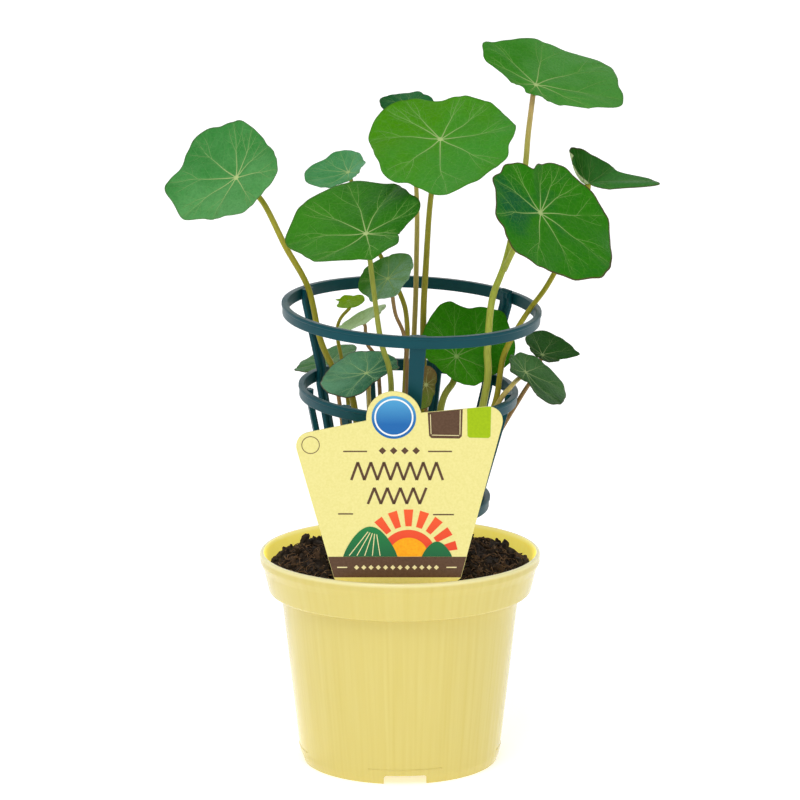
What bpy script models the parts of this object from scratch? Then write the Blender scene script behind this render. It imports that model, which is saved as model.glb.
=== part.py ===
"""Nasturtium plant in a 12 cm plastic herb pot, with its plant cage and its label.

Blender 4.5 script, metres, +Z up. The sizes below are in millimetres. The pot's label side faces -Y.
"""
import math
from collections import namedtuple

import bmesh
import bpy
from mathutils import Matrix, Vector

MM = 0.001
GAP = 0.3
PLANT_PLACE = (-3.6, 0.6, 0.0)

POT_HEIGHT = 91.5
POT_WALL = 1.5
RIM_RADIUS = 60.0
RIM_BEAD = 4.8
COLLAR_TOP_RADIUS = 58.3
COLLAR_BOTTOM_RADIUS = 56.0
COLLAR_FOOT = 74.3
BODY_TOP_RADIUS = 50.9
BODY_BOTTOM_RADIUS = 43.2
FOOT_OUTER = 41.9
FOOT_INNER = 40.3
FLOOR_UNDERSIDE = 4.5
NOTCH_WIDTH = 18.0
NOTCH_HEIGHT = 4.0
NOTCH_ANGLES = (-87, 3, 93, 183)
DRAIN_RADIUS = 2.0
DRAIN_CIRCLE = 27.0
DRAINS = 6
POT_STEPS = 48

SOIL_TOP = 86.0
SOIL_MOUND = 4.0
SOIL_STEPS = 36
STEM_SEAT = 72.0
SOIL_LIP = 97.0

CAGE_PLACE = (0.5, 0.3, 84.0)
CAGE_LEAN = (4.2, 2.2)
RING_HEIGHT = 5.0
RING_WALL = 2.2
RING_LIP = 0.4
RING_STEPS = 48
UPPER_RING = ("cage_ring_upper", 54.3, 113.0)
MIDDLE_RING = ("cage_ring_middle", 46.1, 77.8)
LOWER_RING = ("cage_ring_lower", 36.3, 31.3)
STRIP_THICKNESS = 2.0
LEG_WIDTH = 5.6
RIB_WIDTH = 4.0
SPIKE_END = -13.0
SPIKE_RADIUS = 28.0
LEG_ANGLES = {"front": 273, "left": 151, "right": 37}
RIB_ANGLES = (193, 233, 313, 353, 73, 113)

LABEL_FOOT = (0.0, -50.5, 91.5)
LABEL_LEAN = 5.0
LABEL_THICKNESS = 0.8
LABEL_CORNERS = ((-44.1, 62.3), (44.0, 75.5), (23.8, 0.0), (16.0, -7.0), (7.0, -14.5), (-9.0, -14.5),
                 (-19.0, -7.0), (-27.2, 0.0))
LABEL_ROUNDING = (6.0, 6.0, 2.0, 2.0, 2.0, 2.0, 2.0, 2.0)
BUMP_CENTRE = (-2.5, 69.4)
BUMP_RADIUS = 11.3

BLADE_THICKNESS = 0.8
VEINS = 9
SECTORS = {True: 36, False: 18}
LARGE_LEAF = 22
BLADE_RINGS = (0.4, 0.74, 1.0)
STEM_ROUNDING = 1
STEM_STEPS = 3
STEM_STRAIGHT = 3.0

GREENS = {
    "blue_green": (0.10, 0.34, 0.13),
    "mid_green": (0.07, 0.32, 0.07),
    "bright_green": (0.13, 0.36, 0.02),
    "deep_green": (0.03, 0.20, 0.02),
    "pale_green": (0.40, 0.46, 0.18),
    "brown": (0.16, 0.08, 0.03),
}

Leaf = namedtuple("Leaf", "hub face veins bulges rise wave count phase colour")
Stem = namedtuple("Stem", "foot_radius top_radius way foot")

# Each leaf: its hub, the way its upper face looks (azimuth, elevation), the lengths of its nine veins
# 40 degrees apart, how far its margin bulges between each vein and the next, the rise of its rim over
# its hub, its wave's height, count and phase, and its colour.
LEAVES = {
    "far_left": Leaf((-70, 30, 248), (-120, 35), (21, 20, 22, 26, 30, 32, 24, 21, 18),
                     (1, -1, 2, 3, -5, 1, 0, 2, -2), 2, 2.0, 4, 20, "blue_green"),
    "left_small": Leaf((-22, 24, 251), (-125, 60), (7, 8, 10, 14, 17, 20, 16, 10, 7),
                       (0, 0, 1, 1, 2, -1, 1, -1, 1), 1, 1.0, 3, 60, "blue_green"),
    "left_front": Leaf((-14, -26, 232), (-115, 60), (15, 24, 29, 39, 36, 33, 27, 17, 20),
                       (-3, -1, 0, -2, 0, -2, 1, 0, 2), 1, 2.2, 4, 200, "mid_green"),
    "top_centre": Leaf((17, 0, 268), (-100, 55), (32, 29, 23, 27, 30, 29, 32, 38, 31),
                       (-1, 0, -1, -1, 1, 0, -4, 0, 1), 2, 2.0, 5, 90, "bright_green"),
    "top_behind": Leaf((3, 38, 278), (-85, 65), (12, 10, 10, 9, 12, 11, 12, 13, 12),
                       (0, 1, 0, -1, 0, 0, 1, 0, 0), 1, 0.8, 3, 0, "blue_green"),
    "top_right": Leaf((57, 8, 290), (-60, 55), (40, 33, 28, 27, 14, 8, 9, 12, 26),
                      (3, 1, 0, -3, 1, 0, 1, -3, 4), 0, 1.5, 4, 140, "mid_green"),
    "right_front": Leaf((58, -22, 240), (-45, 35), (32, 31, 20, 24, 27, 28, 31, 34, 36),
                        (-3, 0, 2, 1, 0, 2, -3, 1, 2), 2, 2.2, 5, 30, "deep_green"),
    "far_right": Leaf((80, 20, 247), (-90, 85), (28, 15, 10, 9, 9, 8, 8, 8, 12),
                      (-3, 0, 0, 0, 0, 0, 0, 0, 3), 6.5, 7.5, 1, 310, "deep_green"),
    "inner_small": Leaf((-5, 0, 209), (-130, 50), (12, 12, 14, 13, 15, 13, 12, 13, 13),
                        (0, 0, -1, 0, -1, 1, 0, 0, -1), 1, 0.8, 4, 50, "mid_green"),
    "cage_centre": Leaf((24, 4, 175), (-80, 35), (25, 28, 24, 20, 17, 12, 11, 15, 16),
                        (-2, 0, 2, -1, 0, 0, -1, 1, 0), 1, 1.5, 4, 10, "deep_green"),
    "cage_left": Leaf((-14, -14, 171), (-130, 65), (13, 14, 14, 14, 19, 19, 20, 19, 12),
                      (0, 0, 0, 1, 0, 0, 0, 1, 0), 1, 0.8, 3, 90, "blue_green"),
    "back_left": Leaf((-30, 48, 165), (-155, 70), (12, 12, 12, 14, 13, 15, 16, 15, 11),
                      (1, 0, 1, -1, 1, 0, 1, 1, -1), 1, 1.0, 3, 0, "deep_green"),
    "side_right": Leaf((61, 18, 173), (-60, 60), (16, 15, 15, 9, 6, 4, 5, 7, 8),
                       (-1, 1, 0, 0, 0, 0, 1, 0, 0), 1, 1.0, 3, 0, "deep_green"),
    "low_right": Leaf((53, -6, 170), (-30, 45), (15, 11, 9, 10, 11, 7, 15, 20, 22),
                      (0, 1, 0, -1, 1, -2, 1, -1, 0), 1, 1.0, 3, 30, "deep_green"),
    "young": Leaf((-22, 20, 196), (-120, 70), (8, 6, 4, 4, 4, 4, 5, 8, 8),
                  (0, 0, 0, 0, 0, 0, 1, 0, 0), 1, 0.4, 3, 0, "pale_green"),
    "folded": Leaf((-16, 8, 190), (-170, 65), (13, 12, 11, 11, 9, 11, 10, 12, 12),
                   (0, -1, 1, -1, 0, 0, -1, 1, -1), 1, 0.6, 3, 0, "pale_green"),
    "withered": Leaf((11, -13, 166), (-95, 10), (4, 6, 8, 7, 4, 6, 11, 9, 5),
                     (0, 0, 0, -1, 0, 0, 0, -1, 0), 1, 0.8, 3, 40, "brown"),
}

# Each stem: its radius at the soil and at the leaf, its way from the leaf down, and where it enters the soil.
STEMS = {
    "far_left": Stem(1.6, 1.3, ((-59, 29, 238), (-49, 20, 220), (-39, 12, 203), (-34, 8, 182), (-28, 6, 169),
                                (-20, 4, 156)), (-13, 3)),
    "left_small": Stem(1.3, 1.0, ((-14, 26, 226), (-1, 13, 203), (3, 11, 188), (2, 11, 160)), (-1, 10)),
    "left_front": Stem(1.4, 1.2, ((-11, -25, 209), (-8, -24, 187), (-4, -24, 172), (-4, -18, 147)), (-5, -13)),
    "top_centre": Stem(1.6, 1.3, ((13, 5, 243), (11, 13, 212), (10, 17, 190), (10, 16, 160)), (9, 14)),
    "top_behind": Stem(1.3, 1.1, ((7, 33, 243), (7, 26, 210), (6, 23, 180)), (2, 20)),
    "top_right": Stem(1.9, 1.2, ((54, 8, 270), (52, 8, 250), (45, 6, 217), (39, 2, 200), (37, -3, 180),
                                 (36, -4, 160)), (22, 3)),
    "right_front": Stem(1.4, 1.2, ((54, -10, 232), (49, -2, 224), (44, 5, 212)), None),
    "far_right": Stem(1.5, 1.2, ((74, 12, 227), (63, 3, 207), (54, -5, 196), (48, -5, 186), (43.5, -5, 176),
                                 (41, -6, 160), (38, -7, 150), (29, -9, 120)), (26, -7)),
    "inner_small": Stem(1.0, 0.9, ((-2, 2, 194), (2, 1, 183), (3, 0, 160)), (2, -3)),
    "cage_centre": Stem(1.8, 1.5, ((23, 8, 164), (17, 5, 150)), (14, 2)),
    "cage_left": Stem(1.1, 1.0, ((-13, -12, 158), (-12, -10, 140)), (-12, -9)),
    "back_left": Stem(1.2, 1.0, ((-27, 46, 150), (-23, 42, 120)), (-21, 38)),
    "side_right": Stem(1.1, 1.0, ((58, 16, 165), (52, 14, 156), (40, 9, 136), (30, 10, 112)), (25, 12)),
    "low_right": Stem(1.2, 1.1, ((49, -9, 167), (46.2, -16, 165.4), (42, -18, 160.5), (35, -17, 146)),
                      (17, -14)),
    "young": Stem(1.0, 0.8, ((-27, 24, 183), (-23, 19, 158)), (-17, 13)),
    "folded": Stem(1.0, 0.8, ((-14, 8, 180), (-9, 8, 165)), (-7, 5)),
    "withered": Stem(0.9, 0.8, ((11, -10, 152),), (10, -9)),
}


def clear_scene():
    for obj in list(bpy.data.objects):
        bpy.data.objects.remove(obj, do_unlink=True)


def new_collection(name, hidden=False):
    collection = bpy.data.collections.new(name)
    collection.hide_render = hidden
    bpy.context.scene.collection.children.link(collection)
    return collection


def plain_material(name, colour, roughness=0.5):
    material = bpy.data.materials.new(name)
    material.use_nodes = True
    shader = material.node_tree.nodes["Principled BSDF"]
    shader.inputs["Base Color"].default_value = (*colour, 1.0)
    shader.inputs["Roughness"].default_value = roughness
    shader.inputs["Metallic"].default_value = 0.0
    return material


def add_object(name, data, parent, material=None, collection=None):
    obj = bpy.data.objects.new(name, data)
    (collection or PARTS).objects.link(obj)
    obj.parent = parent
    if material:
        obj.data.materials.append(material)
    return obj


def mesh_from(name, points, faces):
    mesh = bpy.data.meshes.new(name)
    mesh.from_pydata([Vector(p) * MM for p in points], [], faces)
    mesh.update()
    return mesh


def mark_cutter(obj):
    obj.hide_render = True
    obj.display_type = "WIRE"
    return obj


def cut_with(obj, cutters, name):
    modifier = obj.modifiers.new(name, "BOOLEAN")
    modifier.operation = "DIFFERENCE"
    modifier.operand_type = "COLLECTION"
    modifier.collection = cutters
    modifier.solver = "EXACT"


def solid_mesh(obj, name):
    """The object's evaluated mesh with loose caps welded, as its own data."""
    bpy.context.view_layer.update()
    graph = bpy.context.evaluated_depsgraph_get()
    mesh = bpy.data.meshes.new_from_object(obj.evaluated_get(graph))
    mesh.name = name
    work = bmesh.new()
    work.from_mesh(mesh)
    bmesh.ops.remove_doubles(work, verts=work.verts, dist=0.01 * MM)
    work.to_mesh(mesh)
    work.free()
    return mesh


def made_solid(obj):
    """Replaces a curve or a modified object by a plain mesh object of the same name and place."""
    name = obj.name
    mesh = solid_mesh(obj, name)
    world, parent = obj.matrix_world.copy(), obj.parent
    collection = obj.users_collection[0]
    bpy.data.objects.remove(obj, do_unlink=True)
    solid = bpy.data.objects.new(name, mesh)
    collection.objects.link(solid)
    solid.parent = parent
    bpy.context.view_layer.update()
    solid.matrix_world = world
    return solid


def turned(name, profile, steps, parent, material, closed=False):
    """A profile of (radius, height) points turned round Z, its outer side running downward."""
    count = len(profile)
    edges = [(i, i + 1) for i in range(count - 1)]
    if closed:
        edges.append((count - 1, 0))
    mesh = bpy.data.meshes.new(name)
    mesh.from_pydata([(r * MM, 0.0, z * MM) for r, z in profile], edges, [])
    obj = add_object(name, mesh, parent, material)
    screw = obj.modifiers.new("turn", "SCREW")
    screw.axis = "Z"
    screw.steps = steps
    screw.render_steps = steps
    screw.use_merge_vertices = True
    screw.merge_threshold = 0.00005
    screw.use_smooth_shade = True
    return obj


def shade(obj, degrees=35):
    obj.data.shade_smooth()
    obj.data.set_sharp_from_angle(angle=math.radians(degrees))


# The pot
def pot_inner_radius(z):
    """The radius of the pot's inner wall at a height inside it."""
    if z > COLLAR_FOOT + POT_WALL:
        share = (z - COLLAR_FOOT) / (POT_HEIGHT - COLLAR_FOOT)
        outer = COLLAR_BOTTOM_RADIUS + share * (COLLAR_TOP_RADIUS - COLLAR_BOTTOM_RADIUS)
    else:
        share = z / COLLAR_FOOT
        outer = BODY_BOTTOM_RADIUS + share * (BODY_TOP_RADIUS - BODY_BOTTOM_RADIUS)
    return outer - POT_WALL


def pot_profile():
    bead_foot = POT_HEIGHT - RIM_BEAD
    inner_floor = FLOOR_UNDERSIDE + POT_WALL
    step = COLLAR_FOOT + POT_WALL
    outside = [(RIM_RADIUS - 1.4, POT_HEIGHT), (RIM_RADIUS - 0.5, POT_HEIGHT - 0.3),
               (RIM_RADIUS, POT_HEIGHT - 1.2), (RIM_RADIUS - 0.1, bead_foot + 1.2),
               (COLLAR_TOP_RADIUS, bead_foot), (COLLAR_BOTTOM_RADIUS, COLLAR_FOOT),
               (BODY_TOP_RADIUS + 0.8, COLLAR_FOOT - 0.3), (BODY_TOP_RADIUS - 0.1, COLLAR_FOOT - 1.4),
               (BODY_BOTTOM_RADIUS, 4.0), (BODY_BOTTOM_RADIUS - 0.4, 1.2), (FOOT_OUTER, 0.0)]
    underside = [(FOOT_INNER, 0.0), (FOOT_INNER, FLOOR_UNDERSIDE), (0.0, FLOOR_UNDERSIDE)]
    inside = [(0.0, inner_floor), (pot_inner_radius(inner_floor) - 2.0, inner_floor),
              (pot_inner_radius(inner_floor + 2.0), inner_floor + 2.0),
              (pot_inner_radius(COLLAR_FOOT), COLLAR_FOOT + 0.8),
              (pot_inner_radius(COLLAR_FOOT) + 0.7, step),
              (pot_inner_radius(step + 0.1), step), (RIM_RADIUS - 2.4, POT_HEIGHT - 4.0),
              (RIM_RADIUS - 1.9, POT_HEIGHT - 0.5)]
    return inside + outside + underside


def pot_cutters(parent):
    cutters = new_collection("pot_cutters", hidden=True)
    middle = (FOOT_OUTER + FOOT_INNER) / 2
    for index, degrees in enumerate(NOTCH_ANGLES):
        bpy.ops.mesh.primitive_cube_add(size=1.0)
        box = bpy.context.object
        box.data.transform(scaling(6.0, NOTCH_WIDTH, 2 * NOTCH_HEIGHT))
        take_over(box, f"notch_cutter_{index}", parent, cutters)
        angle = math.radians(degrees)
        box.location = (middle * MM * math.cos(angle), middle * MM * math.sin(angle), 0.0)
        box.rotation_euler = (0.0, 0.0, angle)
    for index in range(DRAINS):
        angle = 2 * math.pi * index / DRAINS
        hole = cylinder_cutter(f"drain_cutter_{index}", DRAIN_RADIUS, 0.0, 12.0, parent, cutters)
        hole.location.x = DRAIN_CIRCLE * MM * math.cos(angle)
        hole.location.y = DRAIN_CIRCLE * MM * math.sin(angle)
    return cutters


def scaling(x, y, z):
    return Matrix.Diagonal((x * MM, y * MM, z * MM, 1.0))


def take_over(obj, name, parent, collection):
    """Moves a new primitive into a collection, under a parent, as a cutter."""
    for old in list(obj.users_collection):
        old.objects.unlink(obj)
    collection.objects.link(obj)
    obj.name = name
    obj.parent = parent
    return mark_cutter(obj)


def cylinder_cutter(name, radius, low, high, parent, collection):
    bpy.ops.mesh.primitive_cylinder_add(vertices=12, radius=radius * MM, depth=(high - low) * MM)
    obj = take_over(bpy.context.object, name, parent, collection)
    obj.location.z = (low + high) / 2 * MM
    return obj


def make_pot(parent):
    material = plain_material("pot_yellow", (0.78, 0.70, 0.22), 0.35)
    pot = turned("pot", pot_profile(), POT_STEPS, parent, material)
    cut_with(pot, pot_cutters(parent), "notches_and_drains")
    return pot


# The soil
def soil_relief(x, y):
    """Crumbs as a few crossing waves, in millimetres."""
    broad = math.sin(x / 7.1 + 1.3) * math.cos(y / 6.3 + 0.4)
    fine = math.sin(x / 3.1 + y / 4.7) * math.cos(y / 2.9 - x / 5.3)
    return 0.9 * broad + 0.7 * fine


def soil_profile():
    low = FLOOR_UNDERSIDE + POT_WALL + GAP
    step = COLLAR_FOOT + POT_WALL + GAP
    edge = pot_inner_radius(SOIL_TOP) - 2 * GAP
    top = [(0.0, SOIL_TOP + SOIL_MOUND)]
    for share in (0.14, 0.28, 0.42, 0.56, 0.7, 0.84, 0.95):
        top.append((edge * share, SOIL_TOP + SOIL_MOUND * (1 - share ** 2)))
    neck = pot_inner_radius(COLLAR_FOOT) - 2 * GAP
    side = [(edge, SOIL_TOP - 1.5), (pot_inner_radius(step + 1) - 2 * GAP, step), (neck, step),
            (neck, COLLAR_FOOT - 2.0), (pot_inner_radius(low + 2.0) - 2 * GAP - 0.5, low + 2.4),
            (pot_inner_radius(low) - 4.0, low), (0.0, low)]
    return top + side


def soil_cutters(parent, cage):
    cutters = new_collection("soil_cutters", hidden=True)
    for name, stem in STEMS.items():
        if stem.foot:
            hole = cylinder_cutter(f"stem_hole_{name}", stem.foot_radius + 2 * GAP, STEM_SEAT - GAP, SOIL_LIP,
                                   parent, cutters)
            hole.location.x = stem.foot[0] * MM
            hole.location.y = stem.foot[1] * MM
    for name, degrees in LEG_ANGLES.items():
        route = [leg_spike_point(14.0), leg_spike_point(SPIKE_END - GAP)]
        strip(f"leg_hole_{name}", route, (LEG_WIDTH + 1.2, LEG_WIDTH + 1.2), degrees, cage, None,
              cutters, STRIP_THICKNESS + 1.2)
    bpy.ops.mesh.primitive_cube_add(size=1.0)
    slot = bpy.context.object
    deep = -LABEL_CORNERS[4][1] + GAP
    slot.data.transform(scaling(40.0, 2 * deep, LABEL_THICKNESS + 4 * GAP))
    take_over(slot, "label_slot", parent, cutters)
    slot.location = Vector(LABEL_FOOT) * MM
    slot.rotation_euler.x = math.radians(90 + LABEL_LEAN)
    return cutters


def make_soil(parent, cage):
    material = plain_material("soil_dark", (0.022, 0.013, 0.009), 0.95)
    soil = made_solid(turned("soil", soil_profile(), SOIL_STEPS, parent, None))
    inner = pot_inner_radius(SOIL_TOP) - 2.0
    for vertex in soil.data.vertices:
        x, y, z = vertex.co / MM
        if z > SOIL_TOP - 1.0 and math.hypot(x, y) < inner:
            vertex.co.z += soil_relief(x, y) * MM
    soil.data.materials.append(material)
    shade(soil, 60)
    cut_with(soil, soil_cutters(parent, cage), "holes")
    return soil


# The plant cage
def ring_inner(ring):
    return ring[1] - RING_WALL


def make_ring(ring, cage, material):
    name, radius, height = ring
    half = RING_HEIGHT / 2
    profile = [(radius + RING_LIP, half), (radius + RING_LIP, half - 1.1), (radius, half - 1.5),
               (radius, -half + 0.3), (radius - 0.3, -half), (radius - RING_WALL, -half),
               (radius - RING_WALL, half)]
    obj = turned(name, profile, RING_STEPS, cage, material, closed=True)
    obj.location.z = height * MM
    return obj


def seat_radius(ring):
    """The middle of a strip that stands just inside a ring."""
    return ring_inner(ring) - GAP - STRIP_THICKNESS / 2


def leg_spike_point(height):
    """A point of a leg's straight lower end, which tapers in towards the soil."""
    top = LOWER_RING[2] - RING_HEIGHT / 2 - 0.5
    share = (top - height) / (top - SPIKE_END)
    start = seat_radius(LOWER_RING)
    return (start + share * (SPIKE_RADIUS - start), height)


def leg_route():
    half = RING_HEIGHT / 2 + 0.5
    route = []
    for ring in (UPPER_RING, MIDDLE_RING, LOWER_RING):
        route.append((seat_radius(ring), ring[2] + half))
        route.append((seat_radius(ring), ring[2] - half))
    return route + [leg_spike_point(8.0), leg_spike_point(SPIKE_END)]


def rib_route():
    half = RING_HEIGHT / 2 - 0.2
    route = []
    for ring in (MIDDLE_RING, LOWER_RING):
        route.append((seat_radius(ring), ring[2] + half))
        route.append((seat_radius(ring), ring[2] - half))
    return route


def strip(name, route, widths, degrees, parent, material, collection, thickness=STRIP_THICKNESS):
    """A flat strip along (radius, height) points, in the upright plane at an angle round the cage."""
    points, faces = [], []
    for (radius, height), width in zip(route, widths):
        points += [(radius, -width / 2, height), (radius, width / 2, height)]
    for row in range(len(route) - 1):
        a = 2 * row
        faces.append((a, a + 2, a + 3, a + 1))
    obj = add_object(name, mesh_from(name, points, faces), parent, material, collection)
    obj.rotation_euler.z = math.radians(degrees)
    thick = obj.modifiers.new("thickness", "SOLIDIFY")
    thick.thickness = thickness * MM
    thick.offset = 0.0
    if collection is not PARTS:
        return mark_cutter(obj)
    soften = obj.modifiers.new("edges", "BEVEL")
    soften.width = 0.3 * MM
    soften.segments = 1
    soften.limit_method = "ANGLE"
    soften.angle_limit = math.radians(60)
    return obj


def make_cage(cage):
    material = plain_material("cage_teal", (0.012, 0.075, 0.090), 0.35)
    for ring in (UPPER_RING, MIDDLE_RING, LOWER_RING):
        make_ring(ring, cage, material)
    leg = leg_route()
    widths = [LEG_WIDTH + 1.0, LEG_WIDTH + 1.0] + [LEG_WIDTH] * (len(leg) - 3) + [LEG_WIDTH / 2]
    for name, degrees in LEG_ANGLES.items():
        strip(f"cage_leg_{name}", leg, widths, degrees, cage, material, PARTS)
    rib = rib_route()
    for index, degrees in enumerate(RIB_ANGLES):
        strip(f"cage_rib_{index + 1}", rib, [RIB_WIDTH] * len(rib), degrees, cage, material, PARTS)


# The label
def rounded(corners, radii, steps=4):
    """A polygon with each corner replaced by an arc that touches both its sides."""
    outline = []
    count = len(corners)
    for index, radius in enumerate(radii):
        here = Vector(corners[index])
        before = (Vector(corners[index - 1]) - here).normalized()
        after = (Vector(corners[(index + 1) % count]) - here).normalized()
        half = before.angle(after) / 2
        centre = here + (before + after).normalized() * radius / math.sin(half)
        start = here + before * radius / math.tan(half) - centre
        turn = start.angle_signed(here + after * radius / math.tan(half) - centre)
        for step in range(steps + 1):
            angle = -turn * step / steps
            outline.append(centre + Vector((start.x * math.cos(angle) - start.y * math.sin(angle),
                                            start.x * math.sin(angle) + start.y * math.cos(angle))))
    return outline


def label_outline():
    """The card's outline in its own plane, with the round bump let into its top edge."""
    outline = rounded(LABEL_CORNERS, LABEL_ROUNDING)
    first = 5
    start, end = math.radians(186), math.radians(11)
    bump = []
    for step in range(17):
        angle = start + (end - start) * step / 16
        bump.append(Vector((BUMP_CENTRE[0] + BUMP_RADIUS * math.cos(angle),
                            BUMP_CENTRE[1] + BUMP_RADIUS * math.sin(angle))))
    return outline[:first] + bump + outline[first:]


def make_label(parent):
    curve = bpy.data.curves.new("plant_label", "CURVE")
    curve.dimensions = "2D"
    curve.fill_mode = "BOTH"
    curve.extrude = LABEL_THICKNESS / 2 * MM
    outline = label_outline()
    spline = curve.splines.new("POLY")
    spline.points.add(len(outline) - 1)
    for point, (x, y) in zip(spline.points, outline):
        point.co = (x * MM, y * MM, 0.0, 1.0)
    spline.use_cyclic_u = True
    material = plain_material("label_card", (0.86, 0.78, 0.35), 0.5)
    obj = add_object("plant_label", curve, parent, material)
    obj.location = Vector(LABEL_FOOT) * MM
    obj.rotation_euler.x = math.radians(90 + LABEL_LEAN)
    return obj


# The leaves
def leaf_axes(face):
    azimuth, elevation = (math.radians(a) for a in face)
    across = Vector((-math.sin(azimuth), math.cos(azimuth), 0.0))
    normal = Vector((math.cos(azimuth) * math.cos(elevation), math.sin(azimuth) * math.cos(elevation),
                     math.sin(elevation)))
    return across, normal.cross(across), normal


def smooth(values, place):
    """A smooth closed curve through values that stand one apart."""
    index, t = int(place), place - int(place)
    a, b, c, d = (values[(index + k) % len(values)] for k in (-1, 0, 1, 2))
    return 0.5 * (2 * b + (c - a) * t + (2 * a - 5 * b + 4 * c - d) * t ** 2
                  + (3 * b - a - 3 * c + d) * t ** 3)


def margin(leaf):
    """The margin's distance from the hub at each vein's tip and half-way to the next vein."""
    reaches = []
    for vein in range(VEINS):
        reaches.append(leaf.veins[vein])
        reaches.append(smooth(leaf.veins, vein + 0.5) + leaf.bulges[vein])
    return reaches


def leaf_point(leaf, reaches, share, turn):
    """A point of the blade's middle surface: share 0 is the hub and 1 the margin, turn runs from 0 to 1."""
    across, along, normal = leaf_axes(leaf.face)
    angle = 2 * math.pi * turn
    reach = smooth(reaches, turn * len(reaches)) * share
    ripple = math.sin(leaf.count * angle + math.radians(leaf.phase))
    lift = leaf.rise * share ** 2 + leaf.wave * share ** 3 * ripple
    return Vector(leaf.hub) + across * reach * math.cos(angle) + along * reach * math.sin(angle) + normal * lift


def make_leaf(name, leaf, parent, materials):
    sectors = SECTORS[max(leaf.veins) > LARGE_LEAF]
    reaches = margin(leaf)
    points = [Vector(leaf.hub)]
    for share in BLADE_RINGS:
        for sector in range(sectors):
            points.append(leaf_point(leaf, reaches, share, sector / sectors))
    faces = [(0, 1 + s, 1 + (s + 1) % sectors) for s in range(sectors)]
    for ring in range(len(BLADE_RINGS) - 1):
        inner, outer = 1 + ring * sectors, 1 + (ring + 1) * sectors
        for s in range(sectors):
            t = (s + 1) % sectors
            faces.append((inner + s, outer + s, outer + t))
            faces.append((inner + s, outer + t, inner + t))
    node = f"leaf_{name}"
    obj = add_object(node, mesh_from(node, points, faces), parent, materials[leaf.colour])
    thick = obj.modifiers.new("thickness", "SOLIDIFY")
    thick.thickness = BLADE_THICKNESS * MM
    thick.offset = 0.0
    obj.data.shade_smooth()
    return obj


# The stems
def smooth_route(points, steps):
    """Points of a smooth curve through the given ones."""
    count = len(points)
    route = []
    for index in range(count - 1):
        a, b = points[max(index - 1, 0)], points[index]
        c, d = points[index + 1], points[min(index + 2, count - 1)]
        for step in range(steps):
            t = step / steps
            route.append(0.5 * (2 * b + (c - a) * t + (2 * a - 5 * b + 4 * c - d) * t ** 2
                                + (3 * b - a - 3 * c + d) * t ** 3))
    return route + [points[-1]]


def stem_route(name):
    """From just under the hub, square to the blade, and down to the seat in the soil."""
    stem = STEMS[name]
    hub = Vector(LEAVES[name].hub)
    normal = leaf_axes(LEAVES[name].face)[2]
    route = [hub - normal * STEM_STRAIGHT] + [Vector(p) for p in stem.way]
    if stem.foot:
        route.append(Vector((*stem.foot, SOIL_LIP)))
    route = [hub - normal * (BLADE_THICKNESS / 2 + GAP)] + smooth_route(route, STEM_STEPS)
    if stem.foot:
        route.append(Vector((*stem.foot, STEM_SEAT)))
    return route


def make_stem(name, parent, material):
    stem = STEMS[name]
    route = stem_route(name)
    curve = bpy.data.curves.new(f"stem_{name}", "CURVE")
    curve.dimensions = "3D"
    curve.bevel_depth = MM
    curve.bevel_resolution = STEM_ROUNDING
    curve.use_fill_caps = True
    spline = curve.splines.new("POLY")
    spline.points.add(len(route) - 1)
    for index, (point, place) in enumerate(zip(spline.points, route)):
        share = index / (len(route) - 1)
        point.co = (*(place * MM), 1.0)
        point.radius = stem.top_radius + share * (stem.foot_radius - stem.top_radius)
    return add_object(f"stem_{name}", curve, parent, material)


def join_stems(main, side, name):
    """One solid of two stems that grow into each other."""
    main, side = made_solid(main), made_solid(side)
    union = main.modifiers.new("join", "BOOLEAN")
    union.operation = "UNION"
    union.object = side
    union.solver = "EXACT"
    joined = made_solid(main)
    bpy.data.objects.remove(side, do_unlink=True)
    joined.name = name
    return joined


def make_plant(parent):
    leaf_materials = {name: plain_material(f"leaf_{name}", colour) for name, colour in GREENS.items()}
    for name, leaf in LEAVES.items():
        make_leaf(name, leaf, parent, leaf_materials)
    olive = plain_material("stem_olive", (0.32, 0.34, 0.06))
    stems = {name: make_stem(name, parent, olive) for name in STEMS}
    join_stems(stems["top_right"], stems["right_front"], "stem_right_pair")


clear_scene()
PARTS = new_collection("nasturtium_plant")
plant = bpy.data.objects.new("plant_place", None)
PARTS.objects.link(plant)
plant.location = Vector(PLANT_PLACE) * MM
cage_place = bpy.data.objects.new("cage_place", None)
PARTS.objects.link(cage_place)
cage_place.parent = plant
cage_place.location = Vector(CAGE_PLACE) * MM
cage_place.rotation_euler = (math.radians(CAGE_LEAN[0]), math.radians(CAGE_LEAN[1]), 0.0)
bpy.context.view_layer.update()

make_pot(plant)
make_soil(plant, cage_place)
make_cage(cage_place)
make_label(plant)
make_plant(plant)
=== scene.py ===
import random
from collections import namedtuple
from math import atan2, cos, hypot, pi, radians, sin, sqrt, tan

import bmesh
import bpy
import numpy as np
from mathutils import Euler, Matrix, Vector, noise

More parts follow.
